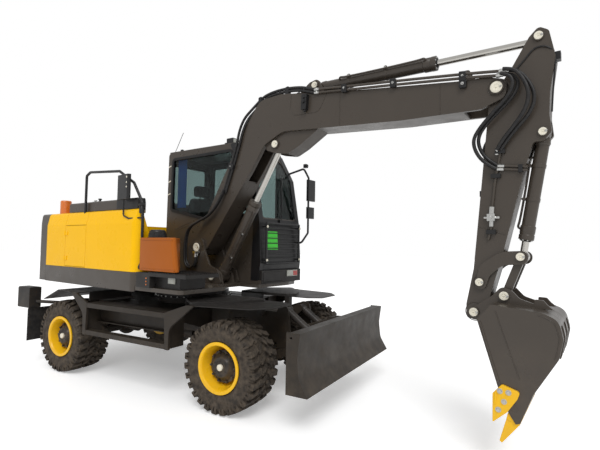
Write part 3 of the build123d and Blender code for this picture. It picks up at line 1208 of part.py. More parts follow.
BUCKET_SIDE = [
    # x, z, radius
    (3395, 1030, 0), (3530, 585, 0), (3596, 426, 0), (3660, 400, 0), (3714, 520, 0), (3895, 830, 60),
    (3920, 960, 90), (3895, 1080, 90), (3800, 1118, 120), (3487, 1145, 0),
]
BUCKET_INSIDE = [
    # x, z, radius
    (3380, 1018, 0), (3515, 580, 0), (3580, 412, 0), (3640, 380, 0), (3700, 526, 0), (3880, 836, 50),
    (3903, 958, 76), (3880, 1070, 80), (3796, 1104, 110), (3487, 1131, 0), (3395, 1128, 0),
]


def make_bucket():
    """Digging bucket: wrapped shell, side plates, ears, teeth and side cutters."""
    w = BUCKET_HALF_WIDTH
    outer = side(BUCKET_SIDE, -w, w)
    inner = side(BUCKET_INSIDE, -w + BUCKET_PLATE, w - BUCKET_PLATE)
    shell = outer - inner
    ear_rows = [
        # x, z, radius
        (BUCKET_PIN[0] - 58, BUCKET_PIN[1] + 10, 54), (BUCKET_PIN[0] + 10, BUCKET_PIN[1] - 66, 54), (3420, 1010, 0),
        (3480, 1120, 0), (3850, 1120, 0), (3815, 1150, 20), (3790, 1180, 12), (3735, 1182, 8), (3735, 1150, 10),
        (3640, 1180, 60), (3585, 1240, 40), (3520, 1256, 40), (3460, 1190, 60), (3380, 1130, 60),
    ]
    ear_in = ARM_HALF_WIDTH + 6
    ears = plates(ear_rows, ear_in, ear_in + 22)
    caps = []
    for pin in (BUCKET_PIN, BUCKET_LINK_PIN):
        caps += [cross_bar(pin, 38, s * ear_in, s * (ear_in + 36)) for s in (1, -1)]
    lip = side([
        # x, z, radius
        (3600, 420, 0), (3640, 360, 0), (3668, 372, 0), (3740, 560, 0), (3716, 560, 0),
    ], -w, w)
    teeth = []
    for n in range(4):
        y = -w + 45 + n * (2 * w - 90) / 3
        tooth = side([
            # x, z, radius
            (3604, 430, 0), (3584, 372, 0), (3540, 222, 0), (3556, 216, 0), (3650, 350, 0), (3680, 420, 0),
        ], y - 26, y + 26)
        teeth.append(tooth)
    cutters = plates([
        # x, z, radius
        (3503, 539, 10), (3560, 606, 18), (3666, 576, 18), (3650, 536, 10), (3588, 438, 0), (3503, 354, 4),
    ], w - 2, w + 16)
    add("bucket", fuse([shell, lip] + ears + caps + teeth + cutters), upper=True)


# ---------------------------------------------------------------- build
make_wheels()
make_rear_axle()
make_front_axle()
make_knuckles()
make_steering_rod()
make_driveline()
make_chassis()
make_slew_ring()
make_side_steps()
make_fenders()
make_rear_lamps()
make_blade()
make_blade_arms()
make_blade_links()
make_upper_frame()
make_counterweight()
make_hood()
make_engine()
make_tool_box()
make_hand_rail()
make_cab()
make_cab_interior()
make_mirrors()
make_boom()
make_arm()
make_boom_cylinders()
make_bucket_linkage()
make_bucket()

for name, shape in parts.items():
    export_step(shape, "parts/" + name + ".step")
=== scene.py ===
from math import atan2, cos, hypot, pi, radians, sin, tan

import bmesh
import bpy
from mathutils import Matrix, Vector


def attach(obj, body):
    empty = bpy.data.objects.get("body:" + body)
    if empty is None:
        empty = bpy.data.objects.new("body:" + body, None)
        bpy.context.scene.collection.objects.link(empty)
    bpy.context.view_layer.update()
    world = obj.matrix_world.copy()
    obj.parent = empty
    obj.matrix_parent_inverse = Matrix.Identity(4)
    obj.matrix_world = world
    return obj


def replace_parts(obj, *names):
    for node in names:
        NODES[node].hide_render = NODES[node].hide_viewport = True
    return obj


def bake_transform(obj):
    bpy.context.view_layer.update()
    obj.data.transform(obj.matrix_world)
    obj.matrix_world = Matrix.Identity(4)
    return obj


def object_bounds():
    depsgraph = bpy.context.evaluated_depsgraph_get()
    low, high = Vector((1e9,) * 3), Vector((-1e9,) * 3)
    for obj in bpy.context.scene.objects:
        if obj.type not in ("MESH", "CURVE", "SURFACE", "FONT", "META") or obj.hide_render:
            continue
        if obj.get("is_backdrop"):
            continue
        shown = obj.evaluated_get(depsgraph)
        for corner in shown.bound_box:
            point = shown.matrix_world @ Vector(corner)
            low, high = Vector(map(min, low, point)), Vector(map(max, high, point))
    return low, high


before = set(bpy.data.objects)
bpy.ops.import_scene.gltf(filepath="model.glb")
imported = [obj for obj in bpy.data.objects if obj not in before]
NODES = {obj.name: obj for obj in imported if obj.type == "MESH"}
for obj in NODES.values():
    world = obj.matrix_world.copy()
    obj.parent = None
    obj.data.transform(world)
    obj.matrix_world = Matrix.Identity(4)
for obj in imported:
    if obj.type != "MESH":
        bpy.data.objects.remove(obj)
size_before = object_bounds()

# -------------------- frame
# Metres, +X forward, +Y left, +Z up. Pieces of the upper structure are drawn square to it,
# and take its parked swing when they are placed.
SWING = Matrix.Rotation(radians(-6.0), 4, "Z")
LOWER = {
    "chassis", "knuckle_left", "knuckle_right", "steering_rod", "wheel_front_left", "wheel_front_right",
    "wheel_rear_left", "wheel_rear_right", "blade_arms", "blade", "blade_link", "blade_cylinder_barrels",
    "blade_cylinder_rods",
}
AXLE_X = 1.21
WHEEL_Y = 0.755
WHEEL_Z = 0.42
# Pins in side view: x, z
BOOM_FOOT = (0.222, 1.497)
BOOM_TIP = (3.501, 2.745)
BOOM_CYL_FOOT = (0.49, 1.165)
BOOM_CYL_EYE = (1.345, 2.596)
ARM_CYL_HEAD = (1.833, 3.126)
ARM_CYL_EYE = (3.777, 3.08)
BUCKET_CYL_HEAD = (3.797, 2.376)
ROD_PIN = (3.65, 1.48)
GUIDE_PIN = (3.371, 1.282)
BUCKET_PIN = (3.331, 1.056)
BUCKET_LINK_PIN = (3.541, 1.193)


# -------------------- materials
def feed(tree, node, inputs):
    """Sets a node's inputs to values, or links them to sockets."""
    for name, value in inputs.items():
        if isinstance(value, bpy.types.NodeSocket):
            tree.links.new(value, node.inputs[name])
        else:
            node.inputs[name].default_value = value


def new_node(tree, kind, inputs=None, **settings):
    """A shader node with its settings and inputs."""
    node = tree.nodes.new("ShaderNode" + kind)
    for name, value in settings.items():
        setattr(node, name, value)
    feed(tree, node, inputs or {})
    return node


def node_tree(name):
    """A new material, its node tree and its principled shader."""
    material = bpy.data.materials.new(name)
    material.use_nodes = True
    tree = material.node_tree
    return material, tree, tree.nodes["Principled BSDF"]


def place(tree):
    """Place in object space."""
    return new_node(tree, "TexCoord").outputs["Object"]


def noise(tree, scale, detail=4.0, rough=0.55, stretch=None):
    """Noise in object space; its Fac socket."""
    source = place(tree)
    if stretch:
        source = new_node(tree, "Mapping", {"Vector": source, "Scale": stretch}).outputs["Vector"]
    inputs = {"Scale": scale, "Detail": detail, "Roughness": rough, "Vector": source}
    return new_node(tree, "TexNoise", inputs).outputs["Fac"]


def ramp(tree, source, stops):
    """Grey ramp over a value; stops are (place, grey)."""
    node = new_node(tree, "ValToRGB", {"Fac": source})
    for element, (position, grey) in zip(node.color_ramp.elements, stops):
        element.position = position
        element.color = (grey, grey, grey, 1.0)
    return node.outputs["Color"]


def mixed(tree, factor, low, high, blend="MIX"):
    """Mix of two colours or sockets by a factor."""
    node = new_node(tree, "Mix", data_type="RGBA", blend_type=blend)
    low, high = ((*value, 1.0) if isinstance(value, tuple) else value for value in (low, high))
    feed(tree, node, {"Factor": factor, "A": low, "B": high})
    return node.outputs["Result"]


def shade(colour, k):
    return tuple(min(1.0, c * k) for c in colour)


def bumped(tree, height, strength, distance, **more):
    """Normal of a bump over a height socket."""
    inputs = {"Strength": strength, "Distance": distance, "Height": height}
    return new_node(tree, "Bump", {**inputs, **more}).outputs["Normal"]


def grit(tree, shader, scale, strength, distance=0.002, edge=0.0):
    """Fine bump, over rounded edge normals where edge is their radius."""
    more = {}
    if edge:
        more["Normal"] = new_node(tree, "Bevel", {"Radius": edge}, samples=4).outputs["Normal"]
    feed(tree, shader, {"Normal": bumped(tree, noise(tree, scale, 3.0), strength, distance, **more)})


def paint(name, colour, rough=0.38, dust=0.0, wear=0.25, edge=0.003, coat=0.15, specular=0.5, patch=0.1):
    """Sprayed paint: soft patches, orange peel, scuffs, rounded edges and road dust low down."""
    material, tree, shader = node_tree(name)
    base = mixed(tree, noise(tree, 2.2, 5.0), shade(colour, 1.0 - patch), shade(colour, 1.0 + patch))
    scuff = ramp(tree, noise(tree, 34.0, 8.0, 0.7, (1.0, 1.0, 0.25)), [(0.62, 0.0), (0.74, 1.0)])
    faded = mixed(tree, 1.0, scuff, (wear, wear, wear), "MULTIPLY")
    base = mixed(tree, faded, base, shade(colour, 1.35))
    if dust:
        height = new_node(tree, "SeparateXYZ", {"Vector": place(tree)}).outputs["Z"]
        low_down = new_node(tree, "MapRange", {"From Min": 1.0, "From Max": 0.1, "Value": height})
        grime = ramp(tree, noise(tree, 9.0, 8.0, 0.65), [(0.35, 0.0), (0.75, dust)])
        amount = mixed(tree, 1.0, grime, low_down.outputs["Result"], "MULTIPLY")
        base = mixed(tree, amount, base, (0.27, 0.2, 0.13))
    gloss = ramp(tree, noise(tree, 7.0, 6.0), [(0.3, max(0.05, rough - 0.08)), (0.7, rough + 0.1)])
    feed(tree, shader, {"Base Color": base, "Roughness": gloss, "Coat Weight": coat, "Coat Roughness": 0.18,
                        "Specular IOR Level": specular})
    grit(tree, shader, 260.0, 0.1, 0.001, edge)
    return material


def metal(name, colour, rough=0.28, brushed=(1.0, 1.0, 1.0), edge=0.0015):
    """Bare or plated metal with drawn streaks and handling marks."""
    material, tree, shader = node_tree(name)
    streak = noise(tree, 90.0, 5.0, 0.6, brushed)
    base = mixed(tree, streak, shade(colour, 0.82), shade(colour, 1.1))
    gloss = ramp(tree, streak, [(0.2, rough - 0.08), (0.8, rough + 0.12)])
    feed(tree, shader, {"Base Color": base, "Roughness": gloss, "Metallic": 1.0})
    grit(tree, shader, 300.0, 0.08, 0.001, edge)
    return material


def rubber(name, colour, dusty, rough=0.78, scale=22.0):
    """Rubber with a bloom of dry dust in patches."""
    material, tree, shader = node_tree(name)
    patches = ramp(tree, noise(tree, scale, 8.0, 0.65), [(0.38, 0.0), (0.78, 1.0)])
    gloss = ramp(tree, noise(tree, 12.0, 6.0), [(0.3, rough - 0.1), (0.7, rough + 0.1)])
    feed(tree, shader, {"Base Color": mixed(tree, patches, colour, dusty), "Roughness": gloss,
                        "Specular IOR Level": 0.35})
    grit(tree, shader, 120.0, 0.25, 0.002)
    return material


def glass(name, tint, rough=0.02):
    """Tinted toughened glass with faint wiping marks."""
    material, tree, shader = node_tree(name)
    smear = ramp(tree, noise(tree, 5.0, 6.0, 0.7, (1.0, 1.0, 3.0)), [(0.4, rough), (0.8, rough + 0.05)])
    base = mixed(tree, noise(tree, 1.6, 3.0), shade(tint, 0.92), shade(tint, 1.05))
    feed(tree, shader, {"Base Color": base, "Roughness": smear, "Transmission Weight": 1.0, "IOR": 1.25})
    return material


def waves(tree, inputs, **settings):
    """Wave texture in object space; its Fac socket."""
    return new_node(tree, "TexWave", {**inputs, "Vector": place(tree)}, **settings).outputs["Fac"]


def cloth(name, colour, thread=420.0, rough=0.9):
    """Woven cloth: crossed waves for the threads and soft blotches."""
    material, tree, shader = node_tree(name)
    weave = waves(tree, {"Scale": thread, "Distortion": 1.5})
    base = mixed(tree, noise(tree, 14.0, 6.0), shade(colour, 0.75), shade(colour, 1.25))
    feed(tree, shader, {"Base Color": mixed(tree, weave, base, shade(colour, 0.8)), "Roughness": rough,
                        "Sheen Weight": 0.2, "Normal": bumped(tree, weave, 0.3, 0.001)})
    return material


def glow(name, colour, rough=0.25):
    """Coloured lamp lens of ribbed plastic."""
    material, tree, shader = node_tree(name)
    rib = waves(tree, {"Scale": 60.0}, bands_direction="Z")
    feed(tree, shader, {"Base Color": mixed(tree, rib, shade(colour, 0.6), colour), "Roughness": rough,
                        "Coat Weight": 0.6, "Normal": bumped(tree, rib, 0.35, 0.002)})
    return material


TAUPE_COLOUR = (0.058, 0.047, 0.037)
MAT = {
    "taupe": paint("taupe_paint", TAUPE_COLOUR, 0.32, dust=0.2, wear=0.15, coat=0.15, specular=0.4),
    # Taupe at half brightness for the chassis, blade, axles and knuckles: painted shade on the lower parts,
    # with road dust low down.
    "taupe_painted_shade": paint("taupe_paint_painted_shade", shade(TAUPE_COLOUR, 0.5), 0.45, dust=0.22, wear=0.2, coat=0.05,
                       specular=0.25),
    "yellow": paint("yellow_paint", (0.95, 0.52, 0.001), 0.3, wear=0.03, coat=0.06, specular=0.12,
                    patch=0.05),
    "rim_yellow": paint("rim_yellow_paint", (0.95, 0.52, 0.005), 0.3, dust=0.2, wear=0.2, specular=0.3),
    # Orange of the tank, set to the dark tone of its shaded side: real orange paint with painted shade.
    "orange": paint("orange_paint", (0.38, 0.098, 0.006), 0.4, wear=0.08, coat=0.05, specular=0.2,
                    patch=0.08),
    "black": paint("black_paint", (0.01, 0.0098, 0.0105), 0.38, wear=0.3, specular=0.4),
    "black_low": paint("black_chassis_paint", (0.018, 0.016, 0.015), 0.55, dust=0.5, wear=0.4, specular=0.3),
    "trim": paint("trim_plastic", (0.012, 0.012, 0.013), 0.55, wear=0.15, coat=0.0, specular=0.35),
    "pin": paint("pin_cream_paint", (0.78, 0.74, 0.62), 0.5, wear=0.2, edge=0.002),
    "rod": metal("plated_rod", (0.62, 0.6, 0.56), 0.16, (6.0, 6.0, 0.4)),
    "steel": metal("zinc_steel", (0.6, 0.6, 0.58), 0.3),
    "iron": paint("engine_paint", (0.03, 0.032, 0.035), 0.6, wear=0.5),
    "hose": rubber("hose_rubber", (0.01, 0.01, 0.011), (0.035, 0.032, 0.03), 0.45, 60.0),
    "tyre": rubber("tyre_rubber", (0.03, 0.024, 0.019), (0.125, 0.097, 0.07), 0.82, 16.0),
    "flap": rubber("flap_rubber", (0.016, 0.015, 0.015), (0.05, 0.045, 0.04), 0.7, 14.0),
    "glass": glass("cab_glass", (0.33, 0.41, 0.4)),
    "seat": cloth("seat_cloth", (0.018, 0.018, 0.02)),
    "curtain": cloth("curtain_cloth", (0.03, 0.24, 0.9), 260.0),
    "lens": glow("lamp_lens", (0.55, 0.56, 0.5)),
    "red_lens": glow("red_lens", (0.55, 0.02, 0.01)),
    "amber": glow("amber_lens", (0.85, 0.2, 0.01), rough=0.35),
    "mirror": metal("mirror_glass", (0.75, 0.78, 0.8), 0.12),
    "green": paint("green_patch", (0.05, 0.75, 0.03), 0.4, wear=0.0, coat=0.3, patch=0.08),
}
# Slot and material of the pieces
STEEL = "chrome_rod", "steel"
CREAM = "chrome_rod", "pin"
BLACK = "black_paint", "black"
LOW_BLACK = "black_paint", "black_low"
TRIM = "black_paint", "trim"
TAUPE = "taupe_paint", "taupe"
TOOTH_YELLOW = "yellow_paint", "rim_yellow"
# The orange with painted shade, for the tank shell and its seams.
ORANGE_PAINTED_SHADE = "orange_paint", "orange"
LENS = "lamp_plastic", "lens"


# -------------------- shapes
def rounded(rows, step=radians(15)):
    """Closed outline from rows of (a, b, radius); a radius turns its corner into an arc."""
    points = []
    count = len(rows)
    for i, (a, b, radius) in enumerate(rows):
        here = Vector((a, b))
        before = Vector(rows[i - 1][:2]) - here
        after = Vector(rows[(i + 1) % count][:2]) - here
        if radius <= 0 or before.length < 1e-6 or after.length < 1e-6:
            points.append(here)
            continue
        turn = before.angle(after)
        reach = min(radius / tan(turn / 2), before.length * 0.49, after.length * 0.49)
        radius = reach * tan(turn / 2)
        start = here + before.normalized() * reach
        end = here + after.normalized() * reach
        middle = here + (before.normalized() + after.normalized()).normalized() * (radius / sin(turn / 2))
        first = atan2(start.y - middle.y, start.x - middle.x)
        sweep = atan2(end.y - middle.y, end.x - middle.x) - first
        sweep = (sweep + pi) % (2 * pi) - pi
        parts = max(2, int(abs(sweep) / step))
        for k in range(parts + 1):
            angle = first + sweep * k / parts
            points.append(middle + Vector((cos(angle), sin(angle))) * radius)
    return points


NO_CAPS = ()
UP = (0, 0, 1)
SIDES = (-1, 1)     # right, left
PLANES = {
    # plane: place of an outline's point in it, at a depth along the third axis
    "xz": lambda p, d: (p.x, d, p.y), "xy": lambda p, d: (p.x, p.y, d), "yz": lambda p, d: (d, p.x, p.y),
}


def circle(sides, start=0.0):
    """Cosine and sine of evenly spaced angles round a circle."""
    angles = [2 * pi * (k + start) / sides for k in range(sides)]
    return [(cos(a), sin(a)) for a in angles]


def outlined(rows):
    """Outline from rows of (a, b) or (a, b, radius)."""
    return rounded([row if len(row) == 3 else (*row, 0) for row in rows])


class Shape:
    """Collects solids into one mesh."""

    def __init__(self):
        self.bm = bmesh.new()

    def skin(self, rings, caps=(0, -1), closed=False, strip=False):
        """Faces between rings of points.

        Caps fill the rings they name; closed joins the last ring to the first; strip leaves the rings open.
        """
        rings = [[self.bm.verts.new(p) for p in ring] for ring in rings]
        faces = [self.bm.faces.new(rings[end][::-1] if end else rings[end]) for end in caps]
        for low, high in zip(rings, rings[1:] + (rings[:1] if closed else [])):
            for k in range(len(low) - strip):
                j = (k + 1) % len(low)
                faces.append(self.bm.faces.new((low[k], high[k], high[j], low[j])))
        bmesh.ops.recalc_face_normals(self.bm, faces=faces)
        return self

    def prism(self, plane, rows, low, high):
        """Outline in plane xz, xy or yz, drawn out along the third axis from low to high."""
        points = outlined(rows)
        return self.skin([[PLANES[plane](p, d) for p in points] for d in (low, high)])

    def band(self, plane, rows, outward, inward, low, high):
        """Frame that follows an outline, from outward of it to inward of it."""
        points = outlined(rows)
        outer, inner = inset(points, -outward), inset(points, inward)
        loops = ((outer, low), (outer, high), (inner, high), (inner, low))
        return self.skin([[PLANES[plane](p, d) for p in line] for line, d in loops], NO_CAPS, True)

    def box(self, x0, x1, y0, y1, z0, z1):
        return self.prism("xy", [(x0, y0), (x1, y0), (x1, y1), (x0, y1)], z0, z1)

    def lathe(self, origin, axis, profile, sides=28, bore=False):
        """Turned solid, or a ring with a bore; profile rows are (along the axis, radius)."""
        axis = Vector(axis).normalized()
        side = axis.orthogonal().normalized()
        other = axis.cross(side)
        origin = Vector(origin)
        rings = [[origin + axis * reach + (side * c + other * s) * radius for c, s in circle(sides)]
                 for reach, radius in profile]
        return self.skin(rings, NO_CAPS if bore else (0, -1), bore)

    def rod(self, start, end, radius, sides=16):
        start, end = Vector(start), Vector(end)
        return self.lathe(start, end - start, [(0, radius), ((end - start).length, radius)], sides)

    def bolt(self, at, normal, radius=0.011, height=0.009, washer=True):
        """Hexagon head on its washer."""
        at, normal = Vector(at), Vector(normal).normalized()
        if washer:
            self.lathe(at, normal, [(0, radius * 1.45), (0.002, radius * 1.45)], 14)
            at = at + normal * 0.002
        return self.lathe(at, normal, [(0, radius), (height * 0.8, radius), (height, radius * 0.86)], 6)

    def tube(self, points, radius, sides=12):
        """Round bar along straight runs with mitred joints."""
        points = [Vector(p) for p in points]
        rings = []
        for i, point in enumerate(points):
            run = (points[min(i + 1, len(points) - 1)] - points[max(i - 1, 0)]).normalized()
            side = run.cross(Vector((0, 1, 0.013)))
            if side.length < 0.2:
                side = run.cross(Vector((1, 0, 0)))
            side.normalize()
            other = run.cross(side)
            rings.append([point + (side * c + other * s) * radius for c, s in circle(sides)])
        return self.skin(rings)

    def fill(self, boxes=(), prisms=(), bands=(), rods=(), bolts=(), tubes=(), turned=()):
        """Adds solids from tables of their values."""
        table = ((self.box, boxes), (self.prism, prisms), (self.band, bands), (self.rod, rods),
                 (self.bolt, bolts),
                 (self.tube, tubes), (self.lathe, turned))
        for make, rows in table:
            for row in rows:
                make(*row)
        return self


def shown(obj, body, finish):
    """Gives a piece its material, its body, and the parked swing if it is on the upper part."""
    slot, material = finish
    obj.data.materials.clear()
    obj.data.materials.append(MAT[material])
    if body not in LOWER:
        obj.data.transform(SWING)
    bpy.context.scene.collection.objects.link(obj)
    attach(obj, body)
    return obj


def piece(name, shape, body, finish, bevel=0.002):
    """Turns a shape into a named piece with softened edges."""
    mesh = bpy.data.meshes.new(name)
    shape.bm.to_mesh(mesh)
    shape.bm.free()
    obj = shown(bpy.data.objects.new(name, mesh), body, finish)
    mesh.polygons.foreach_set("use_smooth", [True] * len(mesh.polygons))
    mesh.set_sharp_from_angle(angle=radians(38))
    if bevel:
        soft = obj.modifiers.new("edges", "BEVEL")
        soft.width = bevel
        soft.segments = 2
        soft.limit_method = "ANGLE"
        soft.angle_limit = radians(40)
        soft.harden_normals = True
    return obj


def fittings(name, body, finish, bevel=0.002, **tables):
    """One piece made from tables of blocks, outlines, bars, bolts and turned solids."""
    return piece(name, Shape().fill(**tables), body, finish, bevel)


def hoses(name, routes, radius, body, finish=("black_paint", "hose")):
    """Hoses or pipes as smooth bevelled curves; each route is a list of points."""
    curve = bpy.data.curves.new(name, "CURVE")
    curve.dimensions = "3D"
    curve.bevel_depth = radius
    curve.bevel_resolution = 3
    curve.use_fill_caps = True
    curve.resolution_u = 8
    for route in routes:
        spline = curve.splines.new("NURBS")
        spline.points.add(len(route) - 1)
        for point, at in zip(spline.points, route):
            point.co = (*at, 1.0)
        spline.order_u = 3
        spline.use_endpoint_u = True
    return shown(bpy.data.objects.new(name, curve), body, finish)


def inset(points, gap):
    """Closed outline moved inward by gap, or outward where gap is negative."""
    count = len(points)
    area = sum(points[i - 1].x * points[i].y - points[i].x * points[i - 1].y for i in range(count))
    turn = 1 if area > 0 else -1
    moved = []
    for i, point in enumerate(points):
        before = (point - points[i - 1]).normalized()
        after = (points[(i + 1) % count] - point).normalized()
        normal = (Vector((-(before.y + after.y), before.x + after.x)) * turn).normalized()
        lean = max(0.35, normal.dot(Vector((-before.y, before.x)) * turn))
        moved.append(point + normal * (gap / lean))
    return moved


def millimetres(rows):
    return [tuple(v / 1000 for v in row) for row in rows]


def inset_open(points, gap):
    """Open line moved sideways by gap."""
    moved = []
    for i, point in enumerate(points):
        run = (points[min(i + 1, len(points) - 1)] - points[max(i - 1, 0)]).normalized()
        moved.append(point + Vector((-run.y, run.x)) * gap)
    return moved


def loop(centre, radius, y, parts=32):
    """Circle in side view, closed on its first point."""
    return [(centre[0] + radius * cos(2 * pi * k / parts), y, centre[1] + radius * sin(2 * pi * k / parts))
            for k in range(parts + 1)]


# -------------------- CAD nodes that stay
FINISH = {
    "taupe": "boom arm bucket guide_links bucket_link boom_cylinder_barrel arm_cylinder_barrel "
             "bucket_cylinder_barrel upper_frame cab_shell counterweight cab_door hood_skirt hood_lid",
    # The lower parts take the half-bright taupe, which paints their shade into the colour.
    "taupe_painted_shade": "chassis_frame side_steps blade blade_arms blade_link front_axle rear_axle knuckle_left "
                 "knuckle_right",
    "yellow": "engine_hood hood_door_left hood_door_right",
    "rim_yellow": "rim_front_left rim_front_right rim_rear_left rim_rear_right",
    "orange": "tool_box",
    "black": "hand_rails cab_mirrors console filler_cap hood_mirror front_guard",
    "black_low": "front_fenders rear_fenders driveline slew_ring blade_cylinder_barrels steering_rod "
                 "rear_lamps deck_step",
    "amber": "hood_beacon",
    "rod": "boom_cylinder_rod arm_cylinder_rod bucket_cylinder_rod blade_cylinder_rods",
    "tyre": "tyre_front_left tyre_front_right tyre_rear_left tyre_rear_right",
    "flap": "mud_flaps",
    "glass": "cab_glass door_glass",
    "seat": "seat",
    "iron": "engine_block",
}
for finish, names in FINISH.items():
    for node in names.split():
        NODES[node].data.materials.clear()
        NODES[node].data.materials.append(MAT[finish])


# -------------------- tyres and wheels
LUGS_ROUND = 27
LUG_PITCH = 2 * pi / LUGS_ROUND
TREAD_HALF = 0.186
TYRE_RADIUS = 0.42
CARCASS_SIDES = 96
CARCASS = [
    # distance from the middle plane, radius
    (0.15, 0.212), (0.163, 0.222), (0.17, 0.238), (0.174, 0.24), (0.176, 0.246), (0.182, 0.27),
    (0.1865, 0.3), (0.187, 0.322), (0.185, 0.34), (0.182, 0.352), (0.176, 0.372), (0.166, 0.388),
    (0.12, 0.394), (0.0, 0.397),
]
# Corners of the tread blocks: turn in pitches, distance from the middle plane
SHOULDER_LUG = [(0.1, 0.086), (0.62, 0.072), (0.98, 0.13), (1.05, 0.186), (0.48, 0.186), (0.4, 0.14)]
CENTRE_LUG = [(0.00, 0.006), (0.42, 0.01), (0.92, 0.06), (0.96, 0.074), (0.62, 0.08), (0.1, 0.036)]
RIBS = [(0.55, 0.012), (0.92, 0.009)]     # turn in pitches, half width
HUB = [
    # along the axle, radius
    (0, 0.15), (0.013, 0.15), (0.016, 0.146), (0.016, 0.128), (0.022, 0.124), (0.044, 0.1), (0.06, 0.092),
    (0.066, 0.084), (0.066, 0.06), (0.058, 0.05), (0.058, 0.034), (0.058, 0.02),
]
HUB_FACE = 0.098        # from the tyre's middle plane
NUT_CIRCLE = 0.136
STUD_CIRCLE = 0.072
HUB_CAP = [(0, 0.03), (0.018, 0.03), (0.022, 0.026), (0.024, 0.012), (0.024, 0.004)]


def crown(y):
    """Radius of the tread's outer face at a distance from the middle plane."""
    return TYRE_RADIUS - 0.01 * (abs(y) / TREAD_HALF) ** 3


def lug(shape, middle, corners, height, taper, sign):
    """Tread block that narrows by taper toward its outer face."""
    centre_turn = sum(c[0] for c in corners) / len(corners)
    centre_y = sum(c[1] for c in corners) / len(corners)
    rings = []
    for lift, shrink in ((-height, 0.0), (0.0, taper)):
        ring = []
        for turn, y in corners:
            to_turn = (centre_turn - turn) * LUG_PITCH * TYRE_RADIUS
            to_y = centre_y - y
            share = shrink / hypot(to_turn, to_y)
            angle = (middle + turn) * LUG_PITCH + to_turn * share / TYRE_RADIUS
            at_y = y + to_y * share
            radius = crown(at_y) + lift
            ring.append((radius * sin(angle), sign * at_y, radius * cos(angle)))
        rings.append(ring)
    shape.skin(rings, caps=(-1,))


def tyre_shape(flip):
    """Wide tyre: carcass with ringed walls, shoulder lugs with ribs, and two rows of centre blocks."""
    shape = Shape()
    profile = [(-y, r) for y, r in CARCASS] + [(y, r) for y, r in reversed(CARCASS[:-1])]
    shape.skin([[(r * s, y, r * c) for c, s in circle(CARCASS_SIDES)] for y, r in profile], NO_CAPS, True)
    edge = crown(TREAD_HALF)
    rib_rows = [(0.18, edge - 0.062), (0.1885, edge - 0.05), (0.1885, edge - 0.022), (0.182, edge - 0.003)]
    for side, half in ((1, 0.0), (-1, 0.5)):
        for n in range(LUGS_ROUND):
            lug(shape, n + half, SHOULDER_LUG, 0.028, 0.004, side)
            lug(shape, n + half - 0.05, CENTRE_LUG, 0.026, 0.003, side)
            for turn, width in RIBS:
                angle = (n + half + turn) * LUG_PITCH
                ends = [[(r * sin(angle + shift / r), side * y, r * cos(angle + shift / r))
                         for y, r in rib_rows] for shift in (-width, width)]
                shape.skin(ends, strip=True)
    if flip:
        bmesh.ops.transform(shape.bm, matrix=Matrix.Rotation(pi, 4, "Z"), verts=shape.bm.verts)
    return shape


def make_wheel(name, x, side):
    """Tyre, hub, nuts and cap of one wheel."""
    body = "wheel_" + name
    tyre = tyre_shape(side == 1)
    turn = Matrix.Rotation(radians(7.0 * x), 4, "Y")
    seat = Matrix.Translation((x, side * WHEEL_Y, WHEEL_Z)) @ turn
    bmesh.ops.transform(tyre.bm, matrix=seat, verts=tyre.bm.verts)
    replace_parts(piece("tyre_tread_" + name, tyre, body, ("tyre_rubber", "tyre"), 0.0), "tyre_" + name)
    face = side * (WHEEL_Y + HUB_FACE)
    out = (0, side, 0)
    fittings("hub_" + name, body, LOW_BLACK, 0.0015,
             turned=[((x, face - side * 0.012, WHEEL_Z), out, HUB, 40)])
    r = NUT_CIRCLE
    nuts = [((x + r * c, face + side * 0.003, WHEEL_Z + r * s), out, 0.012, 0.02) for c, s in circle(10)]
    r = STUD_CIRCLE
    nuts += [((x + r * c, face + side * 0.053, WHEEL_Z + r * s), out, 0.006, 0.006, False)
             for c, s in circle(6, 0.5)]
    fittings("wheel_nuts_" + name, body, LOW_BLACK, 0.0, bolts=nuts)
    fittings("hub_cap_" + name, body, CREAM, 0.001,
             turned=[((x, face + side * 0.045, WHEEL_Z), out, HUB_CAP, 24)])


for row in (("front_left", AXLE_X, 1), ("front_right", AXLE_X, -1), ("rear_left", -AXLE_X, 1),
            ("rear_right", -AXLE_X, -1)):
    make_wheel(*row)


# -------------------- camera, floor and light
SKY_LIGHT = 0.62
SKY_SEEN = 1.0
FLOOR_REACH = 60.0
FLOOR_LIFT = 0.3       # light that only the camera sees, so that the lit floor is white


def make_camera():
    """Camera at a standing person's eye height, to the front right."""
    azimuth, pitch, roll = radians(29.79), radians(2.79), radians(0.92)
    look = Vector((-sin(azimuth) * cos(pitch), cos(azimuth) * cos(pitch), sin(pitch)))
    right = Vector((cos(azimuth), sin(azimuth), 0))
    up = right.cross(look)
    right, up = right * cos(roll) + up * sin(roll), up * cos(roll) - right * sin(roll)
    data = bpy.data.cameras.new("camera")
    data.lens = 25.4
    data.sensor_width = 36.0
    data.clip_end = 200.0
    camera = bpy.data.objects.new("camera", data)
    turn = Matrix((right, up, -look)).transposed().to_4x4()
    camera.matrix_world = Matrix.Translation((3.754, -3.934, 1.535)) @ turn
    bpy.context.scene.collection.objects.link(camera)
    bpy.context.scene.camera = camera


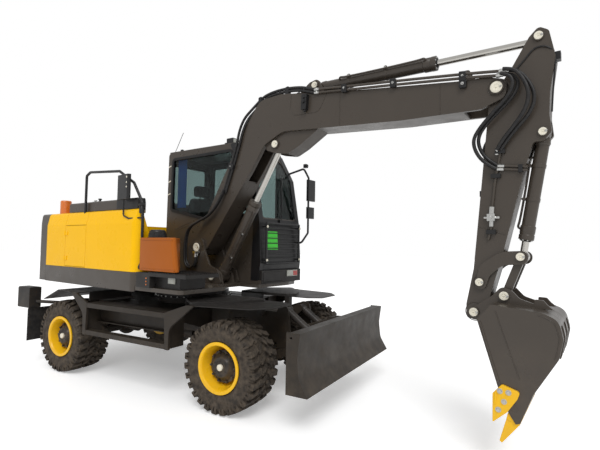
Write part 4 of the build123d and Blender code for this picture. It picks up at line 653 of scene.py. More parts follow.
def make_light():
    """One soft sun and an even sky, white to the camera and through glass."""
    sun_data = bpy.data.lights.new("sun", "SUN")
    sun_data.energy = 1.5
    sun_data.angle = radians(28)
    sun = bpy.data.objects.new("sun", sun_data)
    sun.rotation_euler = (radians(42), radians(8), radians(22))
    bpy.context.scene.collection.objects.link(sun)
    world = bpy.data.worlds.new("sky")
    bpy.context.scene.world = world
    world.use_nodes = True
    tree = world.node_tree
    tree.nodes.clear()
    skies = [new_node(tree, "Background", {"Color": (1, 1, 1, 1), "Strength": strength})
             for strength in (SKY_LIGHT, SKY_SEEN)]
    rays = new_node(tree, "LightPath").outputs
    either = new_node(tree, "Math", {0: rays["Is Camera Ray"], 1: rays["Is Transmission Ray"]},
                      operation="MAXIMUM")
    mix = new_node(tree, "MixShader", {0: either.outputs[0], 1: skies[0].outputs[0], 2: skies[1].outputs[0]})
    new_node(tree, "OutputWorld", {"Surface": mix.outputs[0]})
    bpy.context.scene.view_settings.view_transform = "Standard"


def make_floor():
    """Pale floor that keeps the object's shadow."""
    r = FLOOR_REACH
    mesh = bpy.data.meshes.new("floor")
    mesh.from_pydata([(-r, -r, 0), (r, -r, 0), (r, r, 0), (-r, r, 0)], [], [(0, 1, 2, 3)])
    floor = bpy.data.objects.new("floor", mesh)
    bpy.context.scene.collection.objects.link(floor)
    material, tree, shader = node_tree("floor_white")
    base = mixed(tree, noise(tree, 1.5, 3.0), (0.93, 0.93, 0.93), (0.97, 0.97, 0.97))
    feed(tree, shader, {"Base Color": base, "Roughness": 0.9, "Specular IOR Level": 0.1})
    seen = new_node(tree, "LightPath").outputs["Is Camera Ray"]
    lift = new_node(tree, "Math", {0: seen, 1: FLOOR_LIFT}, operation="MULTIPLY")
    light = new_node(tree, "Emission", {"Strength": lift.outputs[0]})
    lit = new_node(tree, "AddShader", {0: shader.outputs[0], 1: light.outputs[0]})
    feed(tree, tree.nodes["Material Output"], {"Surface": lit.outputs[0]})
    mesh.materials.append(material)
    floor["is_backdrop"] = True


make_camera()
make_light()
make_floor()


# -------------------- cylinders
CYLINDERS = [
    # name, head pin, rod pin, barrel's share, barrel radius, rod radius, head eye radius,
    # pipe's turn from above, gland bolts
    ("boom_cylinder", BOOM_CYL_FOOT, BOOM_CYL_EYE, 0.586, 0.062, 0.032, 0.062, 140, 0),
    ("arm_cylinder", ARM_CYL_HEAD, ARM_CYL_EYE, 0.605, 0.054, 0.028, 0.052, 55, 8),
    ("bucket_cylinder", BUCKET_CYL_HEAD, ROD_PIN, 0.86, 0.046, 0.025, 0.044, 180, 8),
]
CLAMP_SHARES = (0.3, 0.62)


def dress_cylinder(name, head, eye, share, radius, rod, head_eye, pipe_turn, gland_bolts):
    """Gland with its bolts, end cap, clamp bands and the pipe along a cylinder's barrel."""
    body = name + "_barrel"
    run = Vector((eye[0] - head[0], 0, eye[1] - head[1]))
    end = run.length * share
    run.normalize()
    turn = radians(pipe_turn)
    lift = Vector((-run.z, 0, run.x)) * cos(turn) + Vector((0, -1, 0)) * sin(turn)
    other = run.cross(lift)
    start = Vector((head[0], 0, head[1]))
    gland = [
        (0, rod + 0.004), (0, radius + 0.001), (0.006, radius + 0.006), (0.058, radius + 0.006),
        (0.062, radius + 0.003), (0.066, radius + 0.003), (0.07, radius + 0.006), (0.104, radius + 0.006),
        (0.108, radius * 0.92), (0.112, radius * 0.75), (0.112, rod + 0.004),
    ]
    end_cap = [(0, radius * 0.8), (0.02, radius + 0.004), (0.034, radius + 0.006), (0.05, radius + 0.001)]
    band = [(0, radius - 0.002), (0, radius + 0.003), (0.028, radius + 0.003), (0.028, radius - 0.002)]
    turned = [(start + run * (end - 0.105), run, gland, 36, True),
              (start + run * (head_eye * 0.8), run, end_cap, 36, True)]
    middles = [start + run * (end * at) for at in CLAMP_SHARES]
    turned += [(middle - run * 0.014, run, band, 36, True) for middle in middles]
    blocks = [middle + lift * (radius + 0.012) for middle in middles]
    fittings(name + "_gland", body, TAUPE, 0.0012, turned=turned,
             rods=[(at - other * 0.02, at + other * 0.02, 0.013, 12) for at in blocks])
    face = start + run * (end + 0.001)
    bolts = [(face + (lift * c + other * s) * (radius - 0.006), run, 0.0055, 0.008, False)
             for c, s in circle(gland_bolts, 0.5)]
    bolts += [(middle + lift * (radius + 0.024), lift, 0.007, 0.007) for middle in middles]
    fittings(name + "_bolts", body, STEEL, 0.0, bolts=bolts)
    first = start + run * (end * 0.22)
    last = start + run * (end - 0.075)
    away = lift * (radius + 0.016)
    side = other * 0.012
    hoses(name + "_pipe", [[
        first + lift * radius * 0.9 + side, first + away * 1.25 + side, first + away + run * 0.06 + side,
        last + away - run * 0.06 + side, last + away * 1.2 + side, last + lift * radius * 0.9 + side,
    ]], 0.0085, body, TAUPE)
    wiper = [(0, rod + 0.012), (0.006, rod + 0.01), (0.008, rod + 0.002)]
    fittings(name + "_wiper", body, TRIM, 0.0,
             turned=[(start + run * (end + 0.006), run, wiper, 32, True)])


for row in CYLINDERS:
    dress_cylinder(*row)

PINS = [
    # body, point, distance from the middle plane, radius
    ("upper", BOOM_FOOT, 0.166, 0.052),
    ("upper", BOOM_CYL_FOOT, 0.168, 0.04),
    ("boom", BOOM_CYL_EYE, 0.114, 0.038),
    ("boom", ARM_CYL_HEAD, 0.106, 0.032),
    ("boom", BOOM_TIP, 0.139, 0.043),
    ("arm", ARM_CYL_EYE, 0.102, 0.03),
    ("arm", BUCKET_CYL_HEAD, 0.102, 0.028),
    ("guide_links", GUIDE_PIN, 0.126, 0.029),
    ("guide_links", ROD_PIN, 0.126, 0.029),
    ("bucket", BUCKET_PIN, 0.132, 0.032),
    ("bucket", BUCKET_LINK_PIN, 0.132, 0.032),
]
PIN_END = [
    # along the pin, share of its radius
    (0, 1), (0.008, 1), (0.01, 0.93), (0.01, 0.5), (0.007, 0.42), (0.007, 0.16), (0.013, 0.12), (0.013, 0.05),
]

for number, (body, (x, z), out, radius) in enumerate(PINS):
    profile = [(reach, radius * share) for reach, share in PIN_END]
    fittings("pin_%02d" % number, body, CREAM, 0.0008,
             turned=[((x, side * out, z), (0, side, 0), profile, 28) for side in SIDES])
    fittings("pin_keeper_%02d" % number, body, STEEL, 0.0, bolts=[
        ((x + radius * 0.72, side * (out + 0.009), z), (0, side, 0), 0.006, 0.006) for side in SIDES])


# -------------------- boom
BOOM_SIDE_Y = 0.125
BOOM_TOP_Y = 0.098
PIPE_GAP = 0.017        # from the boom's side to a pipe's middle
SIDE_CLAMPS = [(2.196, 3.006), (2.68, 2.952), (3.259, 2.882)]
BOOM_PIPE = [
    (1.874, 3.06), (2.01, 3.046), (2.196, 3.022), (2.7, 2.966), (3.146, 2.912), (3.259, 2.898), (3.4, 2.88),
]
PIPE_ENDS = [(3.52, 2.862), (3.5, 2.832)]
FRONT_CLAMP = [(3.232, 2.79, 0.006), (3.286, 2.786, 0.006), (3.286, 2.85, 0.004), (3.232, 2.856, 0.004)]
FOOT_CLAMP = [(0.705, 2.39, 0.006), (0.78, 2.375, 0.006), (0.795, 2.43, 0.006), (0.72, 2.45, 0.006)]
VALVE = [(1.716, 2.882, 0.006), (1.776, 2.878, 0.006), (1.784, 3.03, 0.006), (1.722, 3.036, 0.006)]


def boom_pipes(side):
    """Pipes and hoses along one side of the boom's top edge."""
    skin = side * BOOM_SIDE_Y
    y = side * (BOOM_SIDE_Y + PIPE_GAP)
    top = side * BOOM_TOP_Y
    label = "right" if side < 0 else "left"
    rigid = [[(x, y, z - drop) for x, z in BOOM_PIPE] + [(end_x, y, end_z)]
             for drop, (end_x, end_z) in zip((0.0, 0.032), PIPE_ENDS)]
    hoses("boom_pipes_" + label, rigid, 0.0115, "boom", TAUPE)
    bent = [
        [(0.64, y, 2.15), (0.8, y, 2.56), (0.878, y, 2.9), (1.048, top, 3.061), (1.167, top, 3.14),
         (1.305, top, 3.166), (1.497, top, 3.166), (1.7, y, 3.12), (1.8, y, 3.085), (1.88, y, 3.06)],
        [(0.66, y, 2.12), (0.83, y, 2.53), (0.93, y, 2.88), (1.1, top, 3.04), (1.21, top, 3.12),
         (1.32, top, 3.134), (1.5, top, 3.134), (1.7, y, 3.09), (1.8, y, 3.05), (1.88, y, 3.028)],
    ]
    hoses("boom_hoses_" + label, bent, 0.0145, "boom")
    rear = [(0, 0.016), (0.012, 0.018), (0.03, 0.018), (0.034, 0.014), (0.052, 0.014)]
    front = [(0, 0.014), (0.008, 0.017), (0.026, 0.017), (0.034, 0.013), (0.05, 0.013)]
    unions = [((1.86, y, z), (1, 0, -0.11), rear, 6) for z in (3.062, 3.03)]
    unions += [((x, y, z), (1, 0, -0.13), front, 6) for x, z in PIPE_ENDS]
    fittings("boom_unions_" + label, "boom", STEEL, 0.001, turned=unions)
    clamps = []
    for x, z in SIDE_CLAMPS:
        corners = [(x - 0.026, z - 0.036, 0.006), (x + 0.026, z - 0.042, 0.006),
                   (x + 0.026, z + 0.032, 0.006),
                   (x - 0.026, z + 0.038, 0.006)]
        clamps.append(("xz", corners, skin, side * (BOOM_SIDE_Y + 0.036)))
    clamps.append(("xz", FRONT_CLAMP, skin, side * (BOOM_SIDE_Y + 0.03)))
    for x, z, lean in ((1.13, 3.08, 0.015), (1.497, 3.118, 0.0)):
        corners = [(x - 0.022, z - 0.07, 0.004), (x + 0.022, z - 0.07 + lean, 0.004),
                   (x + 0.022, z + 0.062, 0.01), (x - 0.022, z + 0.055, 0.01)]
        clamps.append(("xz", corners, top - 0.022, top + 0.022))
    clamps.append(("xz", FOOT_CLAMP, skin, side * (BOOM_SIDE_Y + 0.04)))
    fittings("boom_clamps_" + label, "boom", BLACK, 0.002, prisms=clamps)
    fittings("boom_clamp_bolts_" + label, "boom", STEEL, 0.0, bolts=[
        ((x, side * (BOOM_SIDE_Y + 0.034), z), (0, side, 0), 0.009, 0.008)
        for x, z in SIDE_CLAMPS + [(3.259, 2.82), (0.748, 2.412)]])


def make_boom_details():
    """Welds and valves on the boom, and flanges round its foot pins."""
    window = outlined(millimetres([(1560, 3075), (1540, 2860, 90), (1900, 2840, 90), (1985, 2995)]))
    welds, valve, valve_rods, flanges, flange_bolts = [], [], [], [], []
    for side in SIDES:
        y = side * (BOOM_SIDE_Y + 0.0005)
        welds += [([(2.136, y, 2.672), (2.136, y, 2.985)], 0.0035, 8),
                  ([(3.077, y, 2.615), (3.077, y, 2.868)], 0.0035, 8),
                  ([(p.x, y, p.y) for p in window], 0.003, 8), (loop(BOOM_TIP, 0.064, y), 0.0035, 8)]
        y = side * BOOM_SIDE_Y
        valve.append(("xz", VALVE, y, y + side * 0.048))
        valve_rods += [((1.75, y + side * 0.024, 2.86), (1.75, y + side * 0.024, 2.885), 0.014),
                       ((1.745, y + side * 0.046, 2.96), (1.745, y + side * 0.062, 2.96), 0.018),
                       ((1.75, y + side * 0.046, 3.0), (1.75, y + side * 0.06, 3.0), 0.012)]
        for (x, z), r in ((BOOM_FOOT, 0.078), (BOOM_CYL_FOOT, 0.06)):
            flange = [(0, r), (0.004, r), (0.006, r - 0.006), (0.006, r * 0.5)]
            flanges.append(((x, side * 0.16, z), (0, side, 0), flange, 32))
        x, z = BOOM_FOOT
        flange_bolts += [((x + 0.064 * c, side * 0.165, z + 0.064 * s), (0, side, 0), 0.008, 0.007)
                         for c, s in circle(4, 0.5)]
    fittings("boom_welds", "boom", TAUPE, 0.0, tubes=welds)
    fittings("boom_valves", "boom", BLACK, 0.002, prisms=valve, rods=valve_rods)
    fittings("foot_pin_flanges", "upper", TAUPE, 0.001, turned=flanges, bolts=flange_bolts)


for side in SIDES:
    boom_pipes(side)
make_boom_details()


# -------------------- arm
def bent_hoses(name, routes, radius, pair):
    """Hoses that cross a joint: curves turned to one mesh, left unattached to either body."""
    obj = hoses(name + "_curve", routes, radius, pair[0])
    graph = bpy.context.evaluated_depsgraph_get()
    mesh = bpy.data.meshes.new_from_object(obj.evaluated_get(graph))
    bpy.data.objects.remove(obj)
    mesh.name = name
    soft = bpy.data.objects.new(name, mesh)
    bpy.context.scene.collection.objects.link(soft)
    mesh.materials.clear()
    mesh.materials.append(MAT["hose"])
    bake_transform(soft)


# Hoses that loop from the boom's tip to the arm: x, distance from the boom's pipes, z
ARM_LOOPS = [
    [(3.552, 0, 2.86), (3.62, -0.006, 2.852), (3.683, -0.012, 2.8), (3.745, -0.012, 2.69),
     (3.756, -0.01, 2.592), (3.716, -0.004, 2.5), (3.64, 0, 2.42), (3.565, 0.012, 2.33),
     (3.523, 0.024, 2.27)],
    [(3.552, -0.03, 2.862), (3.62, -0.036, 2.848), (3.67, -0.04, 2.79), (3.716, -0.04, 2.69),
     (3.72, -0.036, 2.6), (3.684, -0.03, 2.51), (3.606, -0.02, 2.41), (3.535, -0.004, 2.33),
     (3.5, 0.01, 2.27)],
    [(3.535, 0, 2.834), (3.6, 0, 2.822), (3.636, 0, 2.79), (3.653, 0, 2.732), (3.605, 0, 2.641),
     (3.513, 0, 2.556), (3.418, 0, 2.462), (3.373, 0, 2.386), (3.372, 0.01, 2.316), (3.404, 0.02, 2.243),
     (3.455, 0.026, 2.191), (3.501, 0.026, 2.156)],
    [(3.535, -0.03, 2.834), (3.59, -0.03, 2.812), (3.616, -0.03, 2.77), (3.62, -0.03, 2.716),
     (3.57, -0.03, 2.63), (3.48, -0.03, 2.545), (3.39, -0.03, 2.445), (3.345, -0.03, 2.37),
     (3.345, -0.02, 2.3), (3.382, -0.008, 2.22), (3.44, 0.006, 2.164), (3.496, 0.012, 2.13)],
]
ARM_PIPES = [
    [(3.523, 2.29), (3.514, 2.23), (3.496, 2.13), (3.478, 2.029), (3.466, 1.9), (3.458, 1.84)],
    [(3.54, 2.154), (3.6, 2.146), (3.66, 2.136), (3.7, 2.13)],
    [(3.54, 2.128), (3.6, 2.12), (3.66, 2.112), (3.7, 2.108)],
    [(3.454, 1.72), (3.45, 1.68), (3.44, 1.64), (3.43, 1.6)],
]
ARM_PIPE_Y = -0.102
ARM_SKIN_Y = -0.089


def make_arm_details():
    """Hoses that loop from the boom's tip to the arm, and the arm's pipes, valve, clamps and welds."""
    y = -(BOOM_SIDE_Y + PIPE_GAP)
    loops = [[(x, y + shift, z) for x, shift, z in route] for route in ARM_LOOPS]
    left = [[(x, -at_y, z) for x, at_y, z in route] for route in loops[2:]]
    for name, routes in (("arm_loop_hoses", loops), ("arm_loop_hoses_left", left)):
        bent_hoses(name, routes, 0.0135, ("boom", "arm"))
    skin = ARM_PIPE_Y
    hoses("arm_pipes", [[(x, skin, z) for x, z in route] for route in ARM_PIPES], 0.0095, "arm", TAUPE)
    unions = [((x, skin - 0.012, z + 0.02), (x - 0.006, skin, z - 0.03), 0.014, 6)
              for x, z in ((3.523, 2.284), (3.5, 2.27))]
    unions += [((x, skin - 0.004, z), (x + 0.045, skin, z - 0.004), 0.014, 6)
               for x, z in ((3.5, 2.156), (3.496, 2.13))]
    fittings("arm_unions", "arm", STEEL, 0.001, rods=unions)
    fittings("boom_tip_unions", "boom", STEEL, 0.001, rods=[
        ((x - 0.05, y, z + 0.012), (x - 0.01, y, z), 0.016, 6) for x, z in ((3.6, 2.849), (3.59, 2.824))])
    near, low = skin - 0.004, skin - 0.006
    fittings("arm_stop_valve", "arm", STEEL, 0.0015,
             boxes=[(3.426, 3.482, skin - 0.028, skin + 0.014, 1.742, 1.796)],
             rods=[((3.458, near, 1.85), (3.454, near, 1.795), 0.019, 6),
                   ((3.454, near, 1.742), (3.452, near, 1.7), 0.016, 6),
                   ((3.482, low, 1.768), (3.512, low, 1.768), 0.011, 8),
                   ((3.454, skin - 0.026, 1.768), (3.454, skin - 0.046, 1.768), 0.013, 8),
                   ((3.425, low, 1.768), (3.402, low, 1.768), 0.009, 8)])
    clamps = [(x - 0.034, x + 0.034, skin - 0.018, ARM_SKIN_Y, z - 0.016, z + 0.016)
              for x, z in ((3.518, 2.262), (3.487, 2.08), (3.452, 1.66))]
    clamps += [(3.64, 3.668, skin - 0.016, ARM_SKIN_Y, 2.094, 2.152),
               (3.868, 3.908, -0.03, 0.03, 2.905, 2.965),
               (3.352, 3.372, -0.02, 0.02, 1.94, 1.986)]
    fittings("arm_clamps", "arm", BLACK, boxes=clamps)
    hoses("arm_grease_line", [
        [(3.625, -0.095, 2.862), (3.69, -0.096, 2.93), (3.744, -0.096, 2.996), (3.8, -0.096, 3.002),
         (3.85, -0.094, 2.975), (3.872, -0.08, 2.95)],
        [(3.878, -0.06, 2.905), (3.868, -0.06, 2.76), (3.858, -0.06, 2.64), (3.852, -0.06, 2.52)],
    ], 0.006, "arm")
    welds = []
    for edge in (-0.0905, 0.0905):
        welds.append(([(3.365, edge, 1.7), (3.548, edge, 1.64)], 0.003, 8))
        welds += [(loop(at, radius, edge), 0.003, 8)
                  for at, radius in ((BOOM_TIP, 0.078), (GUIDE_PIN, 0.05), (BUCKET_PIN, 0.068))]
    fittings("arm_welds", "arm", TAUPE, 0.0, tubes=welds)


make_arm_details()


# -------------------- bucket
BUCKET_HALF = 0.31
TIP_HALF = 0.03
TIP = millimetres([
    (3592, 404, 4), (3578, 372, 2), (3535, 222, 3), (3551, 210, 3), (3652, 342, 3), (3676, 396, 4)])
TIP_COLLAR = millimetres([(3590, 420, 3), (3580, 380, 3), (3660, 350, 3), (3684, 408, 3)])
CUTTER = millimetres([
    (3499, 542, 8), (3558, 612, 16), (3670, 579, 18), (3654, 532, 10), (3592, 434, 4), (3498, 346, 4)])
CUTTER_RIB = millimetres([(3508, 470, 4), (3520, 470, 4), (3528, 560, 4), (3514, 556, 4)])
BUCKET_BACK = outlined(millimetres([(3714, 520), (3895, 830, 60), (3920, 960, 90), (3895, 1080, 90)]))[1:-1]
BUCKET_SEAM = outlined(millimetres([
    (3560, 1112), (3800, 1098, 110), (3875, 1062, 80), (3900, 960, 80), (3876, 838, 60), (3700, 536)]))[1:-1]


def make_bucket_details():
    """Yellow tooth tips and side cutters with bolts, wear strips and welds."""
    tips, cutters, studs, seams = [], [], [], []
    for n in range(4):
        y = -BUCKET_HALF + 0.045 + n * (2 * BUCKET_HALF - 0.09) / 3
        tips += [("xz", TIP, y - TIP_HALF, y + TIP_HALF),
                 ("xz", TIP_COLLAR, y - TIP_HALF - 0.006, y + TIP_HALF + 0.006)]
    for side in SIDES:
        outer = side * (BUCKET_HALF + 0.019)
        cutters += [("xz", CUTTER, side * (BUCKET_HALF - 0.004), outer),
                    ("xz", CUTTER_RIB, outer - side * 0.002, outer + side * 0.006)]
        studs += [((x, outer, z), (0, side, 0), 0.013, 0.01)
                  for x, z in ((3.546, 0.566), (3.6, 0.566), (3.572, 0.5), (3.536, 0.44))]
        y = side * (BUCKET_HALF + 0.0005)
        seams += [([(3.518, y, 1.103), (3.56, y, 0.97), (3.666, y, 0.662)], 0.0032, 8),
                  ([(p.x, y, p.y) for p in BUCKET_SEAM], 0.0035, 8),
                  ([(3.415, y, 1.02), (3.5, y, 0.735), (3.548, y, 0.59)], 0.007, 10)]
    outer_line = inset_open(BUCKET_BACK, -0.008)
    strips = [("xz", corners, y - 0.03, y + 0.03) for y in (-0.2, 0.0, 0.2)
              for corners in zip(BUCKET_BACK, BUCKET_BACK[1:], outer_line[1:], outer_line)]
    fittings("tooth_tips", "bucket", TOOTH_YELLOW, 0.003, prisms=tips)
    fittings("side_cutters", "bucket", TOOTH_YELLOW, 0.003, prisms=cutters)
    fittings("cutter_bolts", "bucket", STEEL, 0.0, bolts=studs)
    fittings("wear_strips", "bucket", TAUPE, 0.0, prisms=strips)
    fittings("bucket_welds", "bucket", TAUPE, 0.0, tubes=seams)


make_bucket_details()


# -------------------- hood, tank and step
TANK_REAR = 0.262
TANK_LENGTH = 0.605
CAP_X, CAP_Y = 0.352, -0.8
CAP_RADIUS = 0.084
TEETH = 23
TOOTH_PITCH = 0.025
# Turned profiles: along the axis, radius
KNOB = [(0, 0.02), (0.012, 0.02), (0.018, 0.012), (0.026, 0.012), (0.03, 0.021), (0.04, 0.021),
        (0.044, 0.014)]
POD = [(0, 0.022), (0.006, 0.027), (0.07, 0.027), (0.078, 0.022), (0.08, 0.034), (0.094, 0.034), (0.1, 0.026),
       (0.102, 0.01)]


def make_hood_details():
    """Lid's black front, latch and knob, rail pod, mirror discs, tank with its cap, and the step's teeth."""
    fittings("lid_front", "hood_lid", BLACK, 0.006, prisms=[
        ("xy", [(-0.3, -0.884), (0.107, -0.884), (0.107, -0.793), (-0.3, -0.508)], 1.9065, 2.0225)])
    fittings("lid_latch", "hood_lid", STEEL,
             boxes=[(-0.932, -0.868, -0.825, -0.775, 2.02, 2.03),
                    (-0.915, -0.885, -0.812, -0.788, 2.029, 2.048)],
             bolts=[((x, -0.8, 2.029), UP, 0.007, 0.006) for x in (-0.924, -0.876)])
    fittings("lid_knob", "hood_lid", BLACK, 0.001, turned=[((-0.8, -0.8, 2.02), UP, KNOB)])
    fittings("rail_pod", "upper", BLACK, turned=[((0.216, -0.905, 1.846), UP, POD)])
    discs = []
    for z, r in ((2.236, 0.011), (2.178, 0.009), (2.13, 0.009)):
        disc = [(0, r), (0.003, r), (0.004, r * 0.7), (0.003, r * 0.4)]
        discs.append(((0.04, -0.9815, z), (-0.104, -0.995, 0), disc, 20))
    fittings("mirror_screws", "upper", CREAM, 0.0, turned=discs)
    fittings("corner_marks", "upper", ("orange_paint", "amber"), 0.001, turned=[
        ((0.385, -0.942, z), (0, -1, 0), [(0, 0.008), (0.003, 0.008), (0.005, 0.004)], 16)
        for z in (1.118, 1.15, 1.182)])
    fittings("step_lamp", "upper", LENS, 0.003,
             boxes=[(0.64, 0.745, -0.872, -0.8605, 1.14, 1.198),
                    (0.652, 0.733, -0.876, -0.8605, 1.15, 1.188)])
    teeth = []
    for n in range(TEETH):
        x = 0.412 + n * TOOTH_PITCH
        tooth = [(x, 1.2385), (x + 0.018, 1.2385), (x + 0.012, 1.25), (x + 0.006, 1.25)]
        teeth += [("xz", tooth, y, y + 0.004) for y in (-0.942, -0.526)]
    fittings("step_teeth", "upper", LOW_BLACK, 0.0, prisms=teeth)
    ridges = [(CAP_X + CAP_RADIUS * c, CAP_Y + CAP_RADIUS * s) for c, s in circle(12)]
    fittings("cap_ridges", "upper", BLACK, 0.0,
             rods=[((x, y, 1.596), (x, y, 1.64), 0.006, 8) for x, y in ridges],
             turned=[((CAP_X, CAP_Y, 1.592), UP, [(0, 0.098), (0.006, 0.098), (0.01, 0.09)], 36)])
    # The tank's seams and its shell below take the orange with painted shade.
    fittings("tank_seams", "upper", ORANGE_PAINTED_SHADE, 0.0, tubes=[
        ([(0.3, -0.9465, z), (x, -0.9465, z)], 0.003, 8) for x, z in ((0.79, 1.566), (0.84, 1.28))])
    tank = Shape()
    tank.prism("xy", [(TANK_REAR, -0.946, 0.01), (0.867, -0.946, 0.03), (0.372, -0.52, 0.05),
                      (TANK_REAR, -0.52, 0.01)], 1.257, 1.592)
    for vert in tank.bm.verts:
        lean = 0.032 if vert.co.z < 1.4 else -0.034
        vert.co.x += lean * (vert.co.x - TANK_REAR) / TANK_LENGTH
    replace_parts(piece("tank_shell", tank, "upper", ORANGE_PAINTED_SHADE, 0.014), "tool_box")


make_hood_details()


# -------------------- cab
# Outlines in millimetres: a, b, corner radius
RIGHT_WINDOW = [
    (-710, 1990, 40), (-700, 2700, 50), (420, 2700, 60), (700, 2330, 120), (790, 1890, 60), (-20, 1850, 60)]
DOOR_WINDOW = [(-170, 1760, 40), (530, 1760, 60), (530, 2600, 60), (460, 2640, 50), (-170, 2640, 50)]
QUARTER_WINDOW = [(-720, 1900, 50), (-310, 1900, 50), (-310, 2690, 50), (-710, 2690, 50)]
REAR_WINDOW = [(258, 2080, 50), (855, 2080, 50), (855, 2650, 50), (258, 2650, 50)]
MASK_EDGE = [(560, 2780, 130), (800, 2380, 240), (905, 1800, 200), (935, 1330, 60), (900, 1124, 10)]
MASK = MASK_EDGE + [(790, 1124, 10), (815, 1860, 30), (722, 2336, 120), (432, 2718, 40), (400, 2782, 20)]
MASK_LEFT = MASK_EDGE + [(620, 1124, 10), (620, 1360, 90), (650, 2300, 40), (618, 2640, 40), (500, 2770, 20)]
CAB_FRONT = [(0.9, 1.124), (0.935, 1.33), (0.905, 1.8), (0.8, 2.38), (0.6, 2.722)]
CAB_SKIN_Y = 0.168


def front_x(z):
    """Forward reach of the cab's front at a height."""
    for (x0, z0), (x1, z1) in zip(CAB_FRONT, CAB_FRONT[1:]):
        if z <= z1:
            return x0 + (x1 - x0) * (z - z0) / (z1 - z0)
    return CAB_FRONT[-1][0]


def front_strip(y0, y1, z0, z1, parts=14):
    """Outlines of a thin band laid on the curved front of the cab."""
    heights = [z0 + (z1 - z0) * n / parts for n in range(parts + 1)]
    ends = [(front_x(z) - 0.012, front_x(z) + 0.004, z) for z in heights]
    return [("xz", [(rear, a), (front, a), (next_front, b), (next_rear, b)], y0, y1)
            for (rear, front, a), (next_rear, next_front, b) in zip(ends, ends[1:])]


def make_cab_trim():
    """Window gaskets, the black front mask, roof fittings, lamps and the green patch."""
    fittings("window_gaskets", "upper", TRIM, bands=[
        ("xz", millimetres(RIGHT_WINDOW), 0.014, 0.024, 0.1585, 0.178),
        ("xz", millimetres(QUARTER_WINDOW), 0.012, 0.022, 0.93, 0.9515),
        ("yz", millimetres(REAR_WINDOW), 0.012, 0.022, -0.8085, -0.79)])
    fittings("door_gasket", "cab_door", TRIM,
             bands=[("xz", millimetres(DOOR_WINDOW), 0.012, 0.022, 0.93, 0.9525)])
    mask = [("xz", millimetres(MASK), 0.1655, 0.169), ("xz", millimetres(MASK_LEFT), 0.944, 0.9475)]
    for strip in ((0.166, 0.24, 1.126, 2.715), (0.873, 0.947, 1.126, 2.715), (0.232, 0.881, 1.126, 1.845, 8),
                  (0.232, 0.881, 2.66, 2.715, 2)):
        mask += front_strip(*strip)
    fittings("front_mask", "upper", BLACK, 0.001, prisms=mask)
    fittings("base_skirt", "upper", LOW_BLACK, 0.006, boxes=[
        (0.902, 0.955, 0.176, 0.928, 1.092, 1.24), (0.952, 0.962, 0.2, 0.56, 1.11, 1.222)])
    fittings("skirt_lamp", "upper", LENS, 0.003, boxes=[
        (0.954, 0.966, 0.64, 0.848, 1.155, 1.23), (0.954, 0.97, 0.655, 0.745, 1.165, 1.22)])
    fittings("skirt_lamp_red", "upper", ("lamp_plastic", "red_lens"), 0.003, boxes=[
        (0.954, 0.969, 0.76, 0.842, 1.163, 1.222)])
    patch = []
    for y0, y1, z0, z1, out in ((0.3, 0.49, 1.482, 1.7, 0.007), (0.315, 0.475, 1.497, 1.685, 0.009)):
        low, high = front_x(z0), front_x(z1)
        patch.append(("xz", [(low, z0), (low + out, z0), (high + out, z1), (high, z1)], y0, y1))
    fittings("green_patch", "upper", ("black_paint", "green"), 0.003, prisms=patch)
    fittings("guard_bolts", "upper", CREAM, 0.0, bolts=[
        ((0.981, y, z), (1, 0, 0), 0.011, 0.008) for y in (0.23, 0.862) for z in (1.36, 1.75)])
    fittings("cab_notches", "upper", ("cab_glazing", "pin"), 0.0, prisms=[
        ("xz", [(-0.79, z - 0.012, 0.004), (-0.736, z + 0.004, 0.004), (-0.736, z + 0.02, 0.004),
                (-0.79, z + 0.004, 0.004)], 0.1655, 0.169) for z in (2.6, 2.39, 2.215)])
    pressings = [([(x0, CAB_SKIN_Y, z0), (x1, CAB_SKIN_Y, z1)], 0.004, 8) for x0, z0, x1, z1 in (
        (-0.61, 1.734, -0.305, 1.824), (-0.609, 1.707, -0.109, 1.846), (-0.7, 1.556, 0.56, 1.556))]
    pressings += [([(-0.78, y, 2.8), (0.52, y, 2.783)], 0.007, 8) for y in (0.18, 0.933)]
    fittings("cab_pressings", "upper", TAUPE, 0.0, tubes=pressings)
    fittings("roof_lamps", "upper", BLACK, 0.003,
             boxes=[(0.29, 0.4, y - 0.055, y + 0.055, 2.8, 2.868) for y in (0.27, 0.84)]
             + [(-0.59, -0.55, 0.2, 0.225, 2.796, 2.83), (0.23, 0.26, 0.24, 0.262, 2.792, 2.826)],
             rods=[((-0.79, 0.25, 2.785), (-0.6, 0.25, 3.08), 0.004, 8),
                   ((-0.795, 0.25, 2.77), (-0.78, 0.25, 2.806), 0.012, 10)])
    fittings("roof_lamp_lenses", "upper", LENS, boxes=[
        (0.396, 0.404, y - 0.045, y + 0.045, 2.81, 2.86) for y in (0.27, 0.84)])
    fittings("wiper", "upper", BLACK, 0.001, boxes=[(0.898, 0.924, 0.53, 0.59, 1.806, 1.846)],
             rods=[((0.918, 0.56, 1.83), (0.815, 0.66, 2.4), 0.006, 8),
                   ((0.9, 0.59, 1.96), (0.808, 0.7, 2.4), 0.005, 6)])
    fittings("mirror_glasses", "upper", ("chrome_rod", "mirror"), boxes=[
        (0.982, 0.9855, 1.003, 1.147, 2.128, 2.392), (0.982, 0.9855, 1.003, 1.127, 1.898, 2.032)])
    fittings("rail_lamp", "upper", BLACK, 0.003, boxes=[(0.955, 1.0, 0.955, 1.005, 2.552, 2.6)],
             turned=[((0.999, 0.98, 2.576), (1, 0, 0), [(0, 0.02), (0.008, 0.02), (0.012, 0.014)], 16)])
    fittings("door_fittings", "cab_door", BLACK, 0.003,
             boxes=[(0.52, 0.59, 0.9475, 0.957, 1.64, 1.76)],
             turned=[((0.56, 0.955, 1.62), (0, 1, 0), [(0, 0.013), (0.004, 0.013), (0.006, 0.008)], 18)],
             bolts=[((x, 0.9475, z), (0, 1, 0), 0.007, 0.005)
                    for x in (-0.225, -0.2) for z in (1.385, 2.345)])


